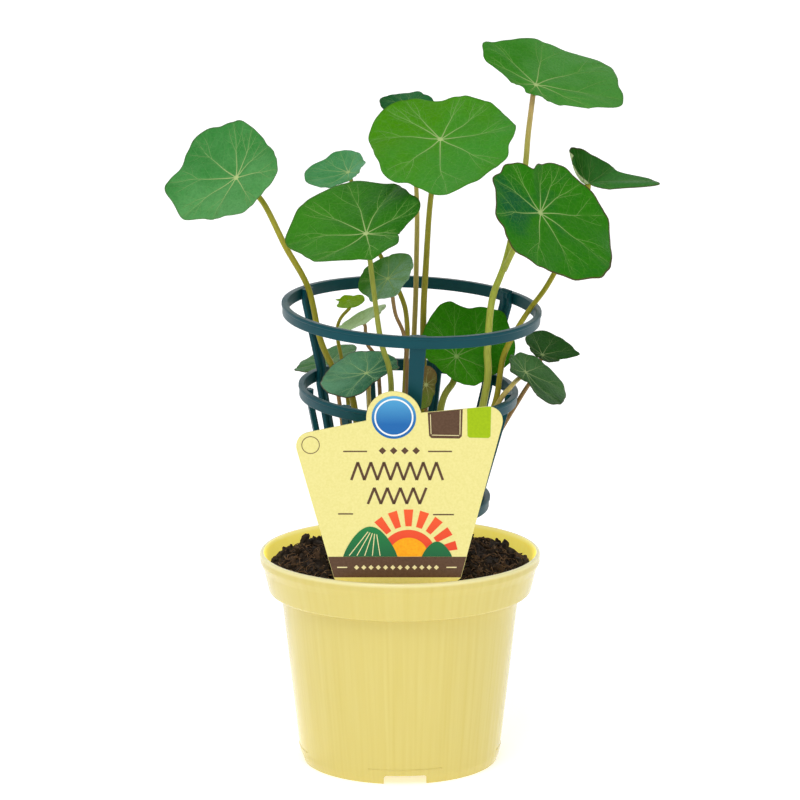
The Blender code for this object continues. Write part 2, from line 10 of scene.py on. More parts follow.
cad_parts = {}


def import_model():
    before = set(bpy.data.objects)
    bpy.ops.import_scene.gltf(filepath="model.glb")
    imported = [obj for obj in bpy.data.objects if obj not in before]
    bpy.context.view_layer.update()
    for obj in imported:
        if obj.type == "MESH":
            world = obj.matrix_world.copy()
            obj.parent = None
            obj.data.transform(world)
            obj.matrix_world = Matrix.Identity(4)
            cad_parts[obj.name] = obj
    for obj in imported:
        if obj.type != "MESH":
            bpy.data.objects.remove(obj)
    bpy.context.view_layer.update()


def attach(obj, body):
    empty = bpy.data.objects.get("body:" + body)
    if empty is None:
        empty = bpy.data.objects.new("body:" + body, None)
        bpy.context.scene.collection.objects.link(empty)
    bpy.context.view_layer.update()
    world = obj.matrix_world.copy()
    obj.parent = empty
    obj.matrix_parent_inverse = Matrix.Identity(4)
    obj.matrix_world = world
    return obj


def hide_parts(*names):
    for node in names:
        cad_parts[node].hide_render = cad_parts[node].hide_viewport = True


# The looks of the nasturtium plant in its pot. Sizes are in millimetres, in the plant's own place, as in
# the part's source; every point goes through world() on its way to a mesh, which is in metres.

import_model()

MM = 0.001
SEED = 7
PLANT_PLACE = Vector((-3.6, 0.6, 0.0))
IMAGE_WIDTH = 800
SENSOR = 36.0

CAMERA_PLACE = (0.0, -1440.0, 440.0)
CAMERA_DOWN = 11.12
FOCAL_PIXELS = 3455.0

# The pot
POT_HEIGHT = 91.5
POT_WALL = 1.5
RIM_RADIUS = 60.0
COLLAR_TOP_RADIUS = 58.3
COLLAR_BOTTOM_RADIUS = 56.0
COLLAR_FOOT = 74.3
BODY_TOP_RADIUS = 50.9
BODY_BOTTOM_RADIUS = 43.2
FOOT_OUTER = 41.9
FOOT_INNER = 40.3
FLOOR_UNDERSIDE = 4.5
NOTCH_WIDTH = 18.0
NOTCH_HEIGHT = 4.0
NOTCH_ROUNDING = 1.2
NOTCH_SPAN = (38.0, 47.0)
NOTCH_ANGLES = (-87, 3, 93, 183)
DRAIN_RADIUS = 2.0
DRAIN_SPAN = (2.0, 9.0)
DRAIN_CIRCLE = 27.0
DRAINS = 6
# Heights in metres over which the top of the rim turns paler: a painted highlight on the lip
RIM_PAINTED_HIGHLIGHT = (0.0895, 0.0908)
POT_TURNS = 160
LINE_HEIGHT = 6.6
LINE_HALF_ANGLE = 21
LINE_STEPS = 20
LINE_PROUD = 0.28
LINE_RADIUS = 0.22

# The soil
SOIL_TOP = 86.0
SOIL_MOUND = 4.0
SOIL_GAP = 0.6
SOIL_RINGS = 46
SOIL_TURNS = 150
CRUMB_CLEARANCE = 0.6
FIBRE_CLEARANCE = 2.5
BROWN_CRUMBS = 0.22
CRUMBS = 2500
FIBRES = 760
STEM_SEAT = 72.0
SOIL_LIP = 97.0

# The cage
CAGE_PLACE = Vector((0.5, 0.3, 84.0))
CAGE_LEAN = (4.2, 2.2)
RING_HEIGHT = 5.0
RING_WALL = 2.2
RING_LIP = 0.4
RING_TURNS = 160
RINGS = {"upper": (54.3, 113.0), "middle": (46.1, 77.8), "lower": (36.3, 31.3)}
STRIP_THICKNESS = 2.0
STRIP_GAP = 0.3
STRIP_BEND = 1.8
LEG_WIDTH = 5.6
LEG_WEB = 0.9
RIB_WIDTH = 4.0
RIB_WEB = 0.6
CATCH_HALF = 2.6
SPIKE_END = -13.0
SPIKE_RADIUS = 28.0
LEG_ANGLES = {"front": 273, "left": 151, "right": 37}
RIB_ANGLES = (193, 233, 313, 353, 73, 113)

# The label
LABEL_FOOT = Vector((0.0, -50.5, 91.5))
LABEL_LEAN = 5.0
LABEL_THICKNESS = 0.8
# x, height over the card's foot line, and rounding
LABEL_CORNERS = ((-44.1, 62.3, 6.0), (44.0, 75.5, 6.0), (25.2, 0.4, 2.0), (16.0, -7.0, 2.0),
                 (7.0, -14.5, 2.0), (-9.0, -14.5, 2.0), (-19.0, -7.0, 2.0), (-27.2, 0.0, 2.0))
LABEL_HALF_WIDTH_BELOW = 29
BUMP_CENTRE = Vector((-2.5, 69.4))
BUMP_RADIUS = 11.3
BUMP_ENDS = (186, 11)
BUMP_STEPS = 40
INK = 0.05
INK_SUNK = 0.02
RULE_WIDTH = 0.55
ZIGZAG_WIDTH = 1.05
DISC_CENTRE = (-2.5, 69.7)
CIRCLE_CENTRE = (-36.6, 57.9)
SUN_CENTRE = (3.5, 9.8)
SUN_STEPS = 48
RAY_RADII = (13.2, 20.5)
RAY_HALF_ANGLE = 5.5
BAND_MIDDLE = 5.1
# Two screen colours for each ink; in the second table they run from one at a height in metres to the other,
# with the lighter one at the top as a painted highlight.
INKS = {"brown": ((97, 71, 52), (88, 63, 45)), "white": ((250, 250, 246), (242, 244, 242)),
        "cream": ((238, 226, 170), (230, 216, 158)), "lime": ((164, 194, 2), (154, 186, 0)),
        "amber": ((250, 176, 20), (246, 158, 12))}
PAINTED_HIGHLIGHT_INKS = {"green": ((0, 92, 48), (20, 140, 66), 0.100, 0.122),
            "orange": ((226, 52, 24), (244, 92, 40), 0.100, 0.122),
            "blue": ((4, 100, 172), (78, 164, 212), 0.158, 0.169)}

# The leaves
BLADE_HALF = 0.26
RIM_HALF = 0.14
LARGE_LEAF = 22
LARGE_GRID = (180, 34)
SMALL_GRID = (108, 20)
VEINS = 9
VEIN_REACH = 0.965
BRANCH_REACH = 0.955
MAIN, BRANCH, TWIG = 1, 2, 3
SIZE_OF_LARGE_RELIEF = 24
STEM_STRAIGHT = 3.0
STEM_THINNER = 0.9
STEM_SIDES = 14
STEM_FLARE = (1.35, 1.12)

# The stage, in metres: each light's place, the point it faces, its size and its power.
LIGHTS = {
    "key": ((-0.35, -1.0, 1.4), (0.0, 0.0, 0.15), (0.9, 0.9), 8.6),
    "low_left": ((-0.184, 0.036, 0.003), (-0.184, 0.036, 1.0), (0.275, 0.15), 0.022),
    "fill": ((0.9, -1.1, 0.7), (0.0, 0.0, 0.15), (0.8, 0.8), 1.5),
}
WORLD_STRENGTH = 0.55
FLOOR_GLOW = 0.42
FLOOR_HALF_WIDTH = 4.0
FLOOR_FRONT = -3.0
FLOOR_END = 1.6
BACKDROP_CURVE = 0.9
BACKDROP_HEIGHT = 4.0

Leaf = namedtuple("Leaf", "hub face veins bulges rise wave count phase lobes")
Look = namedtuple("Look", "slot base second tint_way turns rim_shade under veins")
Stem = namedtuple("Stem", "foot_radius top_radius way foot colours")

# The same leaves as in the part's source: hub, way the face looks, vein lengths 40 degrees apart, bulges of
# the margin between them, the rim's rise over the hub, and the wave's height, count and phase. What the
# margins have besides comes last: the way of each lobe or bay, how far it reaches out or in, and its
# half-width. All angles are in degrees.
LEAVES = {
    "far_left": Leaf((-70, 30, 248), (-120, 35), (21, 20, 22, 26, 30, 32, 24, 21, 18),
        (1, -1, 2, 3, -5, 1, 0, 2, -2), 2, 2.0, 4, 20, ((150, 1.0, 6), (190, 1.6, 8), (210, -1.6, 7),
        (231, 2.4, 8))),
    "left_small": Leaf((-22, 24, 251), (-125, 60), (7, 8, 10, 14, 17, 20, 16, 10, 7),
        (0, 0, 1, 1, 2, -1, 1, -1, 1), 1, 1.0, 3, 60, ((268, 1.3, 6), (325, -0.7, 12), (342, -0.8, 6))),
    "left_front": Leaf((-14, -26, 232), (-115, 60), (15, 24, 29, 39, 36, 33, 27, 17, 20),
        (-3, -1, 0, -2, 0, -2, 1, 0, 2), 1, 2.2, 4, 200, ((12, -0.7, 6), (30, -1.6, 8), (52, 1.5, 8),
        (90, 2.0, 8), (150, -1.2, 8), (190, 1.7, 8), (212, -1.0, 7), (250, 1.0, 8), (331, 1.7, 8))),
    "top_centre": Leaf((17, 0, 268), (-100, 55), (32, 29, 23, 27, 30, 29, 32, 38, 31),
        (-1, 0, -1, -1, 1, 0, -4, 0, 1), 2, 2.0, 5, 90, ((10, 0.6, 7), (50, 1.3, 6), (230, 1.2, 7),
        (250, -1.7, 6), (284, 1.4, 11), (349, -1.8, 7))),
    "top_behind": Leaf((3, 38, 278), (-85, 65), (12, 10, 10, 9, 12, 11, 12, 13, 12),
        (0, 1, 0, -1, 0, 0, 1, 0, 0), 1, 0.8, 3, 0, ((150, -0.8, 10),)),
    "top_right": Leaf((57, 8, 290), (-60, 55), (40, 33, 28, 27, 14, 8, 9, 12, 26),
        (3, 1, 0, -3, 1, 0, 1, -3, 4), 0, 1.5, 4, 140, ((10, 1.2, 5), (110, 3.2, 8), (128, 1.2, 6),
        (188, -2.4, 13), (218, -2.2, 14), (307, -2.6, 9), (331, 3.0, 7), (350, -1.8, 6))),
    "right_front": Leaf((58, -22, 240), (-45, 35), (32, 31, 20, 24, 27, 28, 31, 34, 36),
        (-3, 0, 2, 1, 0, 2, -3, 1, 2), 2, 2.2, 5, 30, ((28, -0.9, 8), (83, -1.6, 8), (110, 1.2, 6),
        (190, -1.8, 6), (211, 1.8, 7), (229, 0.8, 6), (290, 1.3, 5), (348, 2.0, 8))),
    "far_right": Leaf((80, 20, 247), (-90, 85), (28, 15, 10, 9, 9, 8, 8, 8, 12), (-3, 0, 0, 0, 0, 0, 0, 0, 3),
        6.5, 7.5, 1, 310, ((25, -3.6, 14), (180, -2.0, 16), (335, -3.6, 8), (352, 3.0, 6))),
    "inner_small": Leaf((-5, 0, 209), (-130, 50), (12, 12, 14, 13, 15, 13, 12, 13, 13),
        (0, 0, -1, 0, -1, 1, 0, 0, -1), 1, 0.8, 4, 50, ((275, 1.9, 8),)),
    "cage_centre": Leaf((24, 4, 175), (-80, 35), (25, 28, 24, 20, 17, 12, 11, 15, 16),
        (-2, 0, 2, -1, 0, 0, -1, 1, 0), 1, 1.5, 4, 10, ((15, 0.8, 8), (42, 1.4, 8), (70, -1.5, 7),
        (90, 1.1, 7), (150, 1.3, 6), (238, -1.3, 20))),
    "cage_left": Leaf((-14, -14, 171), (-130, 65), (13, 14, 14, 14, 19, 19, 20, 19, 12),
        (0, 0, 0, 1, 0, 0, 0, 1, 0), 1, 0.8, 3, 90, ((20, 1.7, 7), (150, 1.0, 9))),
    "back_left": Leaf((-30, 48, 165), (-155, 70), (12, 12, 12, 14, 13, 15, 16, 15, 11),
        (1, 0, 1, -1, 1, 0, 1, 1, -1), 1, 1.0, 3, 0, ((25, 1.3, 8), (155, -0.9, 8), (205, 1.8, 12),
        (325, -0.8, 8))),
    "side_right": Leaf((61, 18, 173), (-60, 60), (16, 15, 15, 9, 6, 4, 5, 7, 8), (-1, 1, 0, 0, 0, 0, 1, 0, 0),
        1, 1.0, 3, 0, ((135, -1.0, 15), (215, -1.5, 20), (330, -2.0, 7), (350, 3.2, 6))),
    "low_right": Leaf((53, -6, 170), (-30, 45), (15, 11, 9, 10, 11, 7, 15, 20, 22),
        (0, 1, 0, -1, 1, -2, 1, -1, 0), 1, 1.0, 3, 30, ((140, 1.5, 8), (170, 2.2, 7), (225, -1.4, 10),
        (252, 1.3, 10), (331, 1.3, 6))),
    "young": Leaf((-22, 20, 196), (-120, 70), (8, 6, 4, 4, 4, 4, 5, 8, 8), (0, 0, 0, 0, 0, 0, 1, 0, 0), 1,
        0.4, 3, 0, ((190, 2.0, 5),)),
    "folded": Leaf((-16, 8, 190), (-170, 65), (13, 12, 11, 11, 9, 11, 10, 12, 12),
        (0, -1, 1, -1, 0, 0, -1, 1, -1), 1, 0.6, 3, 0, ()),
    "withered": Leaf((11, -13, 166), (-95, 10), (4, 6, 8, 7, 4, 6, 11, 9, 5), (0, 0, 0, -1, 0, 0, 0, -1, 0),
        1, 0.8, 3, 40, ()),
}

EVEN = tuple(range(0, 360, 40))
# Each leaf's looks: material slot, main and second colour (8-bit screen values), the way from the hub
# where the second colour is strongest, the turns of its main veins, how purple its rim is (0 to 1), the
# colour of its underside, and how plain its veins are (0 to 1). The second colour is partly the leaf's own
# tone and partly painted sheen, and on the wedge leaf painted shade.
LOOKS = {
    "far_left": Look("blue_green", (60, 138, 62), (94, 162, 92), 300,
        (10, 57, 88, 108, 149, 192, 228, 261, 316), 0.25, (140, 170, 120), 0.9),
    "left_small": Look("blue_green", (68, 146, 82), (104, 170, 124), 20,
        (76, 105, 133, 158, 180, 210, 250, 300, 350), 0.2, (140, 170, 120), 0.7),
    "left_front": Look("mid_green", (58, 134, 24), (36, 108, 14), 30,
        (10, 50, 89, 125, 161, 196, 241, 300, 349), 0.25, (120, 160, 90), 0.9),
    "top_centre": Look("bright_green", (66, 146, 42), (72, 144, 0), 140,
        (13, 53, 76, 130, 150, 183, 236, 283, 328), 0.12, (130, 165, 80), 0.8),
    "top_behind": Look("blue_green", (12, 82, 34), (38, 108, 56), 60, EVEN, 0.3, (100, 140, 100), 0.4),
    "top_right": Look("mid_green", (50, 128, 20), (74, 144, 58), 340,
        (14, 57, 104, 130, 170, 215, 270, 319, 339), 0.12, (120, 160, 90), 0.7),
    "right_front": Look("deep_green", (42, 122, 6), (6, 92, 44), 158,
        (18, 40, 56, 103, 136, 176, 230, 273, 308, 351), 0.8, (120, 150, 90), 0.75),
    "far_right": Look("deep_green", (24, 88, 6), (56, 120, 48), 340, EVEN, 0.5, (176, 192, 140), 0.35),
    "inner_small": Look("mid_green", (70, 134, 36), (156, 196, 164), 350, EVEN, 0.2, (140, 165, 110), 1.0),
    "cage_centre": Look("deep_green", (42, 122, 0), (56, 134, 4), 220,
        (20, 52, 86, 123, 150, 190, 223, 262, 295, 331), 0.2, (110, 150, 70), 0.35),
    "cage_left": Look("blue_green", (102, 160, 122), (30, 94, 64), 0,
        (20, 55, 86, 130, 161, 190, 216, 279, 334), 0.8, (130, 155, 120), 0.8),
    "back_left": Look("deep_green", (60, 116, 60), (98, 146, 98), 90, EVEN, 0.7, (140, 165, 120), 0.6),
    "side_right": Look("deep_green", (18, 62, 8), (40, 92, 30), 30, EVEN, 0.3, (110, 140, 90), 0.5),
    "low_right": Look("deep_green", (34, 80, 28), (66, 112, 56), 30, EVEN, 0.4, (110, 140, 90), 0.6),
    "young": Look("pale_green", (146, 194, 0), (164, 204, 10), 90, EVEN, 0.1, (150, 178, 50), 0.3),
    "folded": Look("pale_green", (206, 236, 176), (220, 244, 196), 90, EVEN, 0.2, (176, 196, 142), 0.5),
    "withered": Look("withered", (112, 92, 50), (96, 122, 36), 300, EVEN, 0.8, (120, 96, 62), 0.5),
}
# The leaf whose darker second colour fills a wedge between two veins as painted shade, and the wedge's
# half-width in degrees
PAINTED_SHADE_WEDGE_LEAF = "right_front"
PAINTED_SHADE_WEDGE_HALF = 34

OLIVE = ((174, 168, 54), (160, 152, 38), (142, 130, 34))
TAN = ((206, 186, 112), (200, 180, 102), (172, 150, 84))
BROWN = ((176, 144, 94), (160, 126, 78), (132, 102, 60))
RED_TOP = ((190, 156, 106), (182, 190, 74), (180, 186, 80))
GREEN = ((164, 172, 66), (158, 164, 64), (132, 138, 52))

# The same stems as in the part's source: radius at the soil and at the leaf, way from the leaf down, place
# in the soil, and the colours from the leaf down.
STEMS = {
    "far_left": Stem(1.6, 1.3, ((-59, 29, 238), (-49, 20, 220), (-39, 12, 203), (-34, 8, 182), (-28, 6, 169),
        (-20, 4, 156)), (-13, 3), OLIVE),
    "left_small": Stem(1.3, 1.0, ((-14, 26, 226), (-1, 13, 203), (3, 11, 188), (2, 11, 160)), (-1, 10),
        OLIVE),
    "left_front": Stem(1.4, 1.2, ((-11, -25, 209), (-8, -24, 187), (-4, -24, 172), (-4, -18, 147)), (-5, -13),
        GREEN),
    "top_centre": Stem(1.6, 1.3, ((13, 5, 243), (11, 13, 212), (10, 17, 190), (10, 16, 160)), (9, 14), OLIVE),
    "top_behind": Stem(1.3, 1.1, ((7, 33, 243), (7, 26, 210), (6, 23, 180)), (2, 20), TAN),
    "top_right": Stem(1.9, 1.2, ((54, 8, 270), (52, 8, 250), (45, 6, 217), (39, 2, 200), (37, -3, 180),
        (36, -4, 160)), (22, 3), RED_TOP),
    "right_front": Stem(1.4, 1.2, ((54, -10, 232), (49, -2, 224), (44, 5, 212)), None, GREEN),
    "far_right": Stem(1.5, 1.2, ((74, 12, 227), (63, 3, 207), (54, -5, 196), (48, -5, 186), (43.5, -5, 176),
        (41, -6, 160), (38, -7, 150), (29, -9, 120)), (26, -7), OLIVE),
    "inner_small": Stem(1.0, 0.9, ((-2, 2, 194), (2, 1, 183), (3, 0, 160)), (2, -3), BROWN),
    "cage_centre": Stem(1.8, 1.5, ((23, 8, 164), (17, 5, 150)), (14, 2), GREEN),
    "cage_left": Stem(1.1, 1.0, ((-13, -12, 158), (-12, -10, 140)), (-12, -9), TAN),
    "back_left": Stem(1.2, 1.0, ((-27, 46, 150), (-23, 42, 120)), (-21, 38), BROWN),
    "side_right": Stem(1.1, 1.0, ((58, 16, 165), (52, 14, 156), (40, 9, 136), (30, 10, 112)), (25, 12),
        BROWN),
    "low_right": Stem(1.2, 1.1, ((49, -9, 167), (46.2, -16, 165.4), (42, -18, 160.5), (35, -17, 146)),
        (17, -14), TAN),
    "young": Stem(1.0, 0.8, ((-27, 24, 183), (-23, 19, 158)), (-17, 13), OLIVE),
    "folded": Stem(1.0, 0.8, ((-14, 8, 180), (-9, 8, 165)), (-7, 5), BROWN),
    "withered": Stem(0.9, 0.8, ((11, -10, 152),), (10, -9), BROWN),
}
RIGHT_PAIR = ("top_right", "right_front")


# Helpers
def linear(colour):
    """An 8-bit screen colour as the linear colour that a shader takes."""
    parts = [part / 255 for part in colour]
    return (*(c / 12.92 if c <= 0.04045 else ((c + 0.055) / 1.055) ** 2.4 for c in parts), 1.0)


def world(point):
    return (Vector(point) + PLANT_PLACE) * MM


def polar(radius, angle, height=0.0):
    return Vector((radius * cos(angle), radius * sin(angle), height))


def new_mesh(name, points, faces, smooth=True):
    """A mesh in metres from points in millimetres."""
    mesh = bpy.data.meshes.new(name)
    mesh.from_pydata([world(p) for p in points], [], faces)
    mesh.update()
    if smooth:
        mesh.shade_smooth()
    return mesh


def closed_mesh(name, points, faces, smooth=True, sharp=None):
    """A mesh whose faces are turned outward, with the edges over so many degrees kept sharp."""
    mesh = new_mesh(name, points, faces, smooth)
    work = bmesh.new()
    work.from_mesh(mesh)
    bmesh.ops.recalc_face_normals(work, faces=work.faces)
    work.to_mesh(mesh)
    work.free()
    if sharp:
        mesh.set_sharp_from_angle(angle=radians(sharp))
    return mesh


def new_object(name, data):
    obj = bpy.data.objects.new(name, data)
    bpy.context.scene.collection.objects.link(obj)
    return obj


def set_values(mesh, name, values):
    layer = mesh.attributes.new(name, "FLOAT", "POINT")
    layer.data.foreach_set("value", np.asarray(values, np.float32))


def set_vectors(mesh, name, vectors):
    layer = mesh.attributes.new(name, "FLOAT_VECTOR", "POINT")
    layer.data.foreach_set("vector", np.asarray(vectors, np.float32).ravel())


def add_piece(name, mesh, materials, nodes=()):
    obj = new_object(name, mesh)
    for material in materials:
        mesh.materials.append(material)
    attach(obj, "root")
    if nodes:
        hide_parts(*nodes)


def revolve(profile, turns, matrix=None, closed=False):
    """Points and faces of a (radius, height) profile turned round Z; a point on the axis is one vertex."""
    points, rows = [], []
    for radius, height in profile:
        count = 1 if radius < 1e-6 else turns
        rows.append(range(len(points), len(points) + count))
        points += [polar(radius, 2 * pi * step / turns, height) for step in range(count)]
    faces = []
    for index in range(len(rows) if closed else len(rows) - 1):
        a, b = rows[index], rows[(index + 1) % len(rows)]
        for step in range(turns):
            after = (step + 1) % turns
            if len(a) == 1:
                faces.append((a[0], b[step], b[after]))
            elif len(b) == 1:
                faces.append((a[step], b[0], a[after]))
            else:
                faces.append((a[step], b[step], b[after], a[after]))
    if matrix:
        points = [matrix @ p for p in points]
    return points, faces


def round_path(corners, steps=4, closed=False):
    """A polyline through (x, y, radius) corners, which become arcs that touch both sides."""
    path = []
    count = len(corners)
    places = [Vector(corner[:2]) for corner in corners]
    for index, here in enumerate(places):
        radius = corners[index][2]
        if radius == 0 or (not closed and index in (0, count - 1)):
            path.append(here)
            continue
        before = (places[index - 1] - here).normalized()
        after = (places[(index + 1) % count] - here).normalized()
        half = before.angle(after) / 2
        reach = radius / tan(half)
        centre = here + (before + after).normalized() * radius / sin(half)
        start, end = here + before * reach - centre, here + after * reach - centre
        for step in range(steps + 1):
            path.append(centre + start.slerp(end, step / steps, start).normalized() * radius)
    return path


def skin(rows, sides):
    """The faces round rows of so many points each, with one on either end."""
    faces = []
    for row in range(rows - 1):
        for side in range(sides):
            after = (side + 1) % sides
            a, b = row * sides, (row + 1) * sides
            faces.append((a + side, a + after, b + after, b + side))
    return faces + [tuple(range(sides - 1, -1, -1)), tuple(range((rows - 1) * sides, rows * sides))]


def tube(path, radii, sides=6):
    """Points, faces and the share along the path of a closed round tube."""
    points, shares = [], []
    count = len(path)
    turned = None
    for index, place in enumerate(path):
        ahead = path[min(index + 1, count - 1)] - path[max(index - 1, 0)]
        ahead.normalize()
        if turned is None:
            turned = ahead.orthogonal().normalized()
        turned = (turned - ahead * turned.dot(ahead)).normalized()
        other = ahead.cross(turned)
        for side in range(sides):
            angle = 2 * pi * side / sides
            points.append(place + (turned * cos(angle) + other * sin(angle)) * radii[index])
            shares.append(index / (count - 1))
    return points, skin(count, sides), shares


def smooth_between(a, b, c, d, t):
    """A smooth curve from b to c, with a before them and d after."""
    return 0.5 * (2 * b + (c - a) * t + (2 * a - 5 * b + 4 * c - d) * t ** 2
                  + (3 * b - a - 3 * c + d) * t ** 3)


def join_parts(parts):
    """Several (points, faces) as one, with the offsets seen to."""
    points, faces = [], []
    for some, quads in parts:
        start = len(points)
        points += list(some)
        faces += [tuple(start + i for i in face) for face in quads]
    return points, faces


# Materials
class Shades:
    """A short way to make a node material: most calls add one node and return its output. Colours of three
    values are 8-bit screen colours."""

    def __init__(self, name, roughness=0.5, specular=0.5):
        self.material = bpy.data.materials.new(name)
        self.material.use_nodes = True
        self.tree = self.material.node_tree
        self.shader = self.tree.nodes["Principled BSDF"]
        self.give("Roughness", roughness)
        self.give("Specular IOR Level", specular)

    def give(self, name, value):
        self.put(self.shader.inputs[name], value)

    def put(self, socket, value):
        if isinstance(value, bpy.types.NodeSocket):
            self.tree.links.new(value, socket)
        else:
            socket.default_value = linear(value) if socket.type == "RGBA" and len(value) == 3 else value

    def add(self, kind, inputs=None, **settings):
        made = self.tree.nodes.new(kind)
        for key, value in settings.items():
            setattr(made, key, value)
        for key, value in (inputs or {}).items():
            self.put(made.inputs[key], value)
        return made

    def attribute(self, name, output="Fac"):
        return self.add("ShaderNodeAttribute", attribute_name=name).outputs[output]

    def place(self):
        return self.add("ShaderNodeTexCoord").outputs["Object"]

    def split(self, vector):
        return self.add("ShaderNodeSeparateXYZ", {0: vector}).outputs

    def vector(self, operation, a, b=(0.0, 0.0, 0.0), output=0):
        return self.add("ShaderNodeVectorMath", {0: a, 1: b}, operation=operation).outputs[output]

    def noise(self, vector, scale, detail=3.0):
        return self.add("ShaderNodeTexNoise",
                        {"Vector": vector, "Scale": scale, "Detail": detail}).outputs["Fac"]

    def net(self, vector, scale):
        return self.add("ShaderNodeTexVoronoi", {"Vector": vector, "Scale": scale},
                        feature="DISTANCE_TO_EDGE").outputs["Distance"]

    def math(self, operation, a, b=0.0):
        return self.add("ShaderNodeMath", {0: a, 1: b}, operation=operation).outputs[0]

    def times(self, a, b):
        return self.math("MULTIPLY", a, b)

    def remap(self, value, low, high, new_low=0.0, new_high=1.0):
        return self.add("ShaderNodeMapRange", {"Value": value, "From Min": low, "From Max": high,
                                               "To Min": new_low, "To Max": new_high}).outputs["Result"]

    def mix(self, share, a, b):
        return self.add("ShaderNodeMix", {0: share, 6: a, 7: b}, data_type="RGBA").outputs[2]

    def bump(self, height, strength, distance):
        self.give("Normal", self.add("ShaderNodeBump", {"Height": height, "Strength": strength,
                                                        "Distance": distance}).outputs["Normal"])

    def colour(self, value):
        self.give("Base Color", value)
        return self.material


def pot_material():
    s = Shades("pot_plastic", 0.15, 0.5)
    place = s.place()
    x, y, z = s.split(place)
    turn = s.math("ARCTAN2", y, x)
    streak = s.math("SINE", s.times(turn, 150.0))
    around = s.add("ShaderNodeCombineXYZ", {0: s.times(turn, 14.0), 2: s.times(z, 9.0)}).outputs[0]
    cloud = s.noise(around, 1.6, 4.0)
    lines = s.times(s.times(streak, s.remap(z, 0.072, 0.060)), s.remap(cloud, 0.35, 0.65))
    pale = s.mix(s.remap(cloud, 0.3, 0.7), (222, 206, 120), (218, 200, 108))
    s.give("Subsurface Weight", 0.12)
    s.give("Subsurface Radius", (0.004, 0.003, 0.001))
    s.bump(s.math("ADD", s.times(lines, 0.5), s.noise(place, 900.0, 2.0)), 0.03, 0.0002)
    # Painted light: the inner wall glows by emission, more where it faces the middle, to look lit through the
    # plastic.
    outward = s.vector("NORMALIZE", s.vector("MULTIPLY", place, (1.0, 1.0, 0.0)))
    facing = s.add("ShaderNodeNewGeometry").outputs["Normal"]
    inward = s.vector("DOT_PRODUCT", outward, facing, "Value")
    s.give("Emission Color", (246, 226, 96))
    s.give("Emission Strength", s.remap(inward, -0.3, -0.8, 0.0, 0.6))
    darker = s.mix(s.remap(lines, 0.0, 1.0, 0.0, 0.07), pale, (196, 175, 86))
    # Painted highlight: the pot turns paler at the top of its rim.
    return s.colour(s.mix(s.remap(z, *RIM_PAINTED_HIGHLIGHT), darker, (244, 234, 172)))


def soil_material(name, first, second):
    s = Shades(name, 0.92, 0.25)
    place = s.place()
    grain, patch = s.noise(place, 420.0, 6.0), s.noise(place, 90.0)
    s.bump(s.noise(place, 900.0, 5.0), 0.7, 0.001)
    earth = s.mix(s.remap(grain, 0.35, 0.7), first, second)
    return s.colour(s.mix(s.remap(patch, 0.6, 0.8, 0.0, 0.6), earth, (84, 58, 38)))


def cage_material():
    s = Shades("cage_plastic", 0.4, 0.14)
    place = s.place()
    cloud = s.noise(place, 60.0, 4.0)
    s.give("Roughness", s.remap(cloud, 0.3, 0.7, 0.30, 0.46))
    s.bump(s.noise(place, 700.0), 0.12, 0.0002)
    return s.colour(s.mix(cloud, (6, 64, 74), (14, 78, 86)))


def card_material(name, first, second):
    s = Shades(name, 0.5, 0.2)
    fleck = s.noise(s.place(), 1100.0)
    s.bump(fleck, 0.08, 0.0002)
    return s.colour(s.mix(s.remap(fleck, 0.35, 0.65), first, second))


def painted_highlight_ink(name, low, high, low_height, high_height):
    """A print whose colour runs from one at the bottom to a lighter one at the top, as a painted highlight.
    """
    s = Shades(name, 0.3, 0.3)
    place = s.place()
    share = s.remap(s.split(place)["Z"], low_height, high_height)
    s.bump(s.noise(place, 800.0, 2.0), 0.05, 0.0002)
    return s.colour(s.mix(share, low, high))


def leaf_material(name, look):
    s = Shades(f"blade_{name}", 0.55, 0.07)
    plane = s.attribute("plane", "Vector")
    broad, fine = s.noise(plane, 0.09), s.noise(plane, 1.3, 4.0)
    # The mix towards the second colour is partly the leaf's own tone and partly painted sheen, and on the
    # wedge leaf painted shade.
    tint = s.math("ADD", s.attribute("tint"), s.remap(broad, 0.3, 0.7, -0.35, 0.35))
    green = s.mix(tint, look.base, look.second)
    darker = tuple(0.62 * c for c in look.base)
    green = s.mix(s.remap(fine, 0.42, 0.75, 0.0, 0.30), green, darker)
    lighter = tuple(min(255, c + 0.32 * (w - c)) for c, w in zip(look.base, (205, 225, 160)))
    edge = s.net(plane, 0.42)
    green = s.mix(s.remap(edge, 0.0, 0.08, 0.20, 0.0), green, lighter)
    green = s.mix(s.times(s.attribute("near"), 0.34 * look.veins), green, lighter)
    rim = s.remap(s.attribute("rim"), 0.972, 0.99, 0.0, look.rim_shade)
    s.give("Roughness", s.remap(fine, 0.3, 0.7, 0.42, 0.58))
    s.bump(s.math("ADD", s.times(s.remap(edge, 0.0, 0.22), 0.7), s.times(fine, 0.5)), 0.35, 0.0004)
    return s.colour(s.mix(rim, green, (86, 52, 44)))


def underside_material(name, look):
    s = Shades(f"underside_{name}", 0.6, 0.12)
    plane = s.attribute("plane", "Vector")
    edge = s.net(plane, 0.42)
    pale = tuple(min(255, c + 26) for c in look.under)
    s.bump(edge, 0.4, 0.0004)
    green = s.mix(s.remap(edge, 0.0, 0.12, 0.5, 0.0), look.under, pale)
    return s.colour(s.mix(s.remap(s.noise(plane, 0.2), 0.3, 0.7, 0.0, 0.3), green, look.base))


def vein_material(name, look):
    s = Shades(f"vein_{name}", 0.5, 0.15)
    leafy = tuple(c + 0.16 * (w - c) for c, w in zip(look.base, (190, 215, 140)))
    pale = s.mix(s.noise(s.attribute("plane", "Vector"), 0.6), (176, 202, 128), (204, 216, 150))
    return s.colour(s.mix(s.times(s.attribute("strength"), look.veins), leafy, pale))


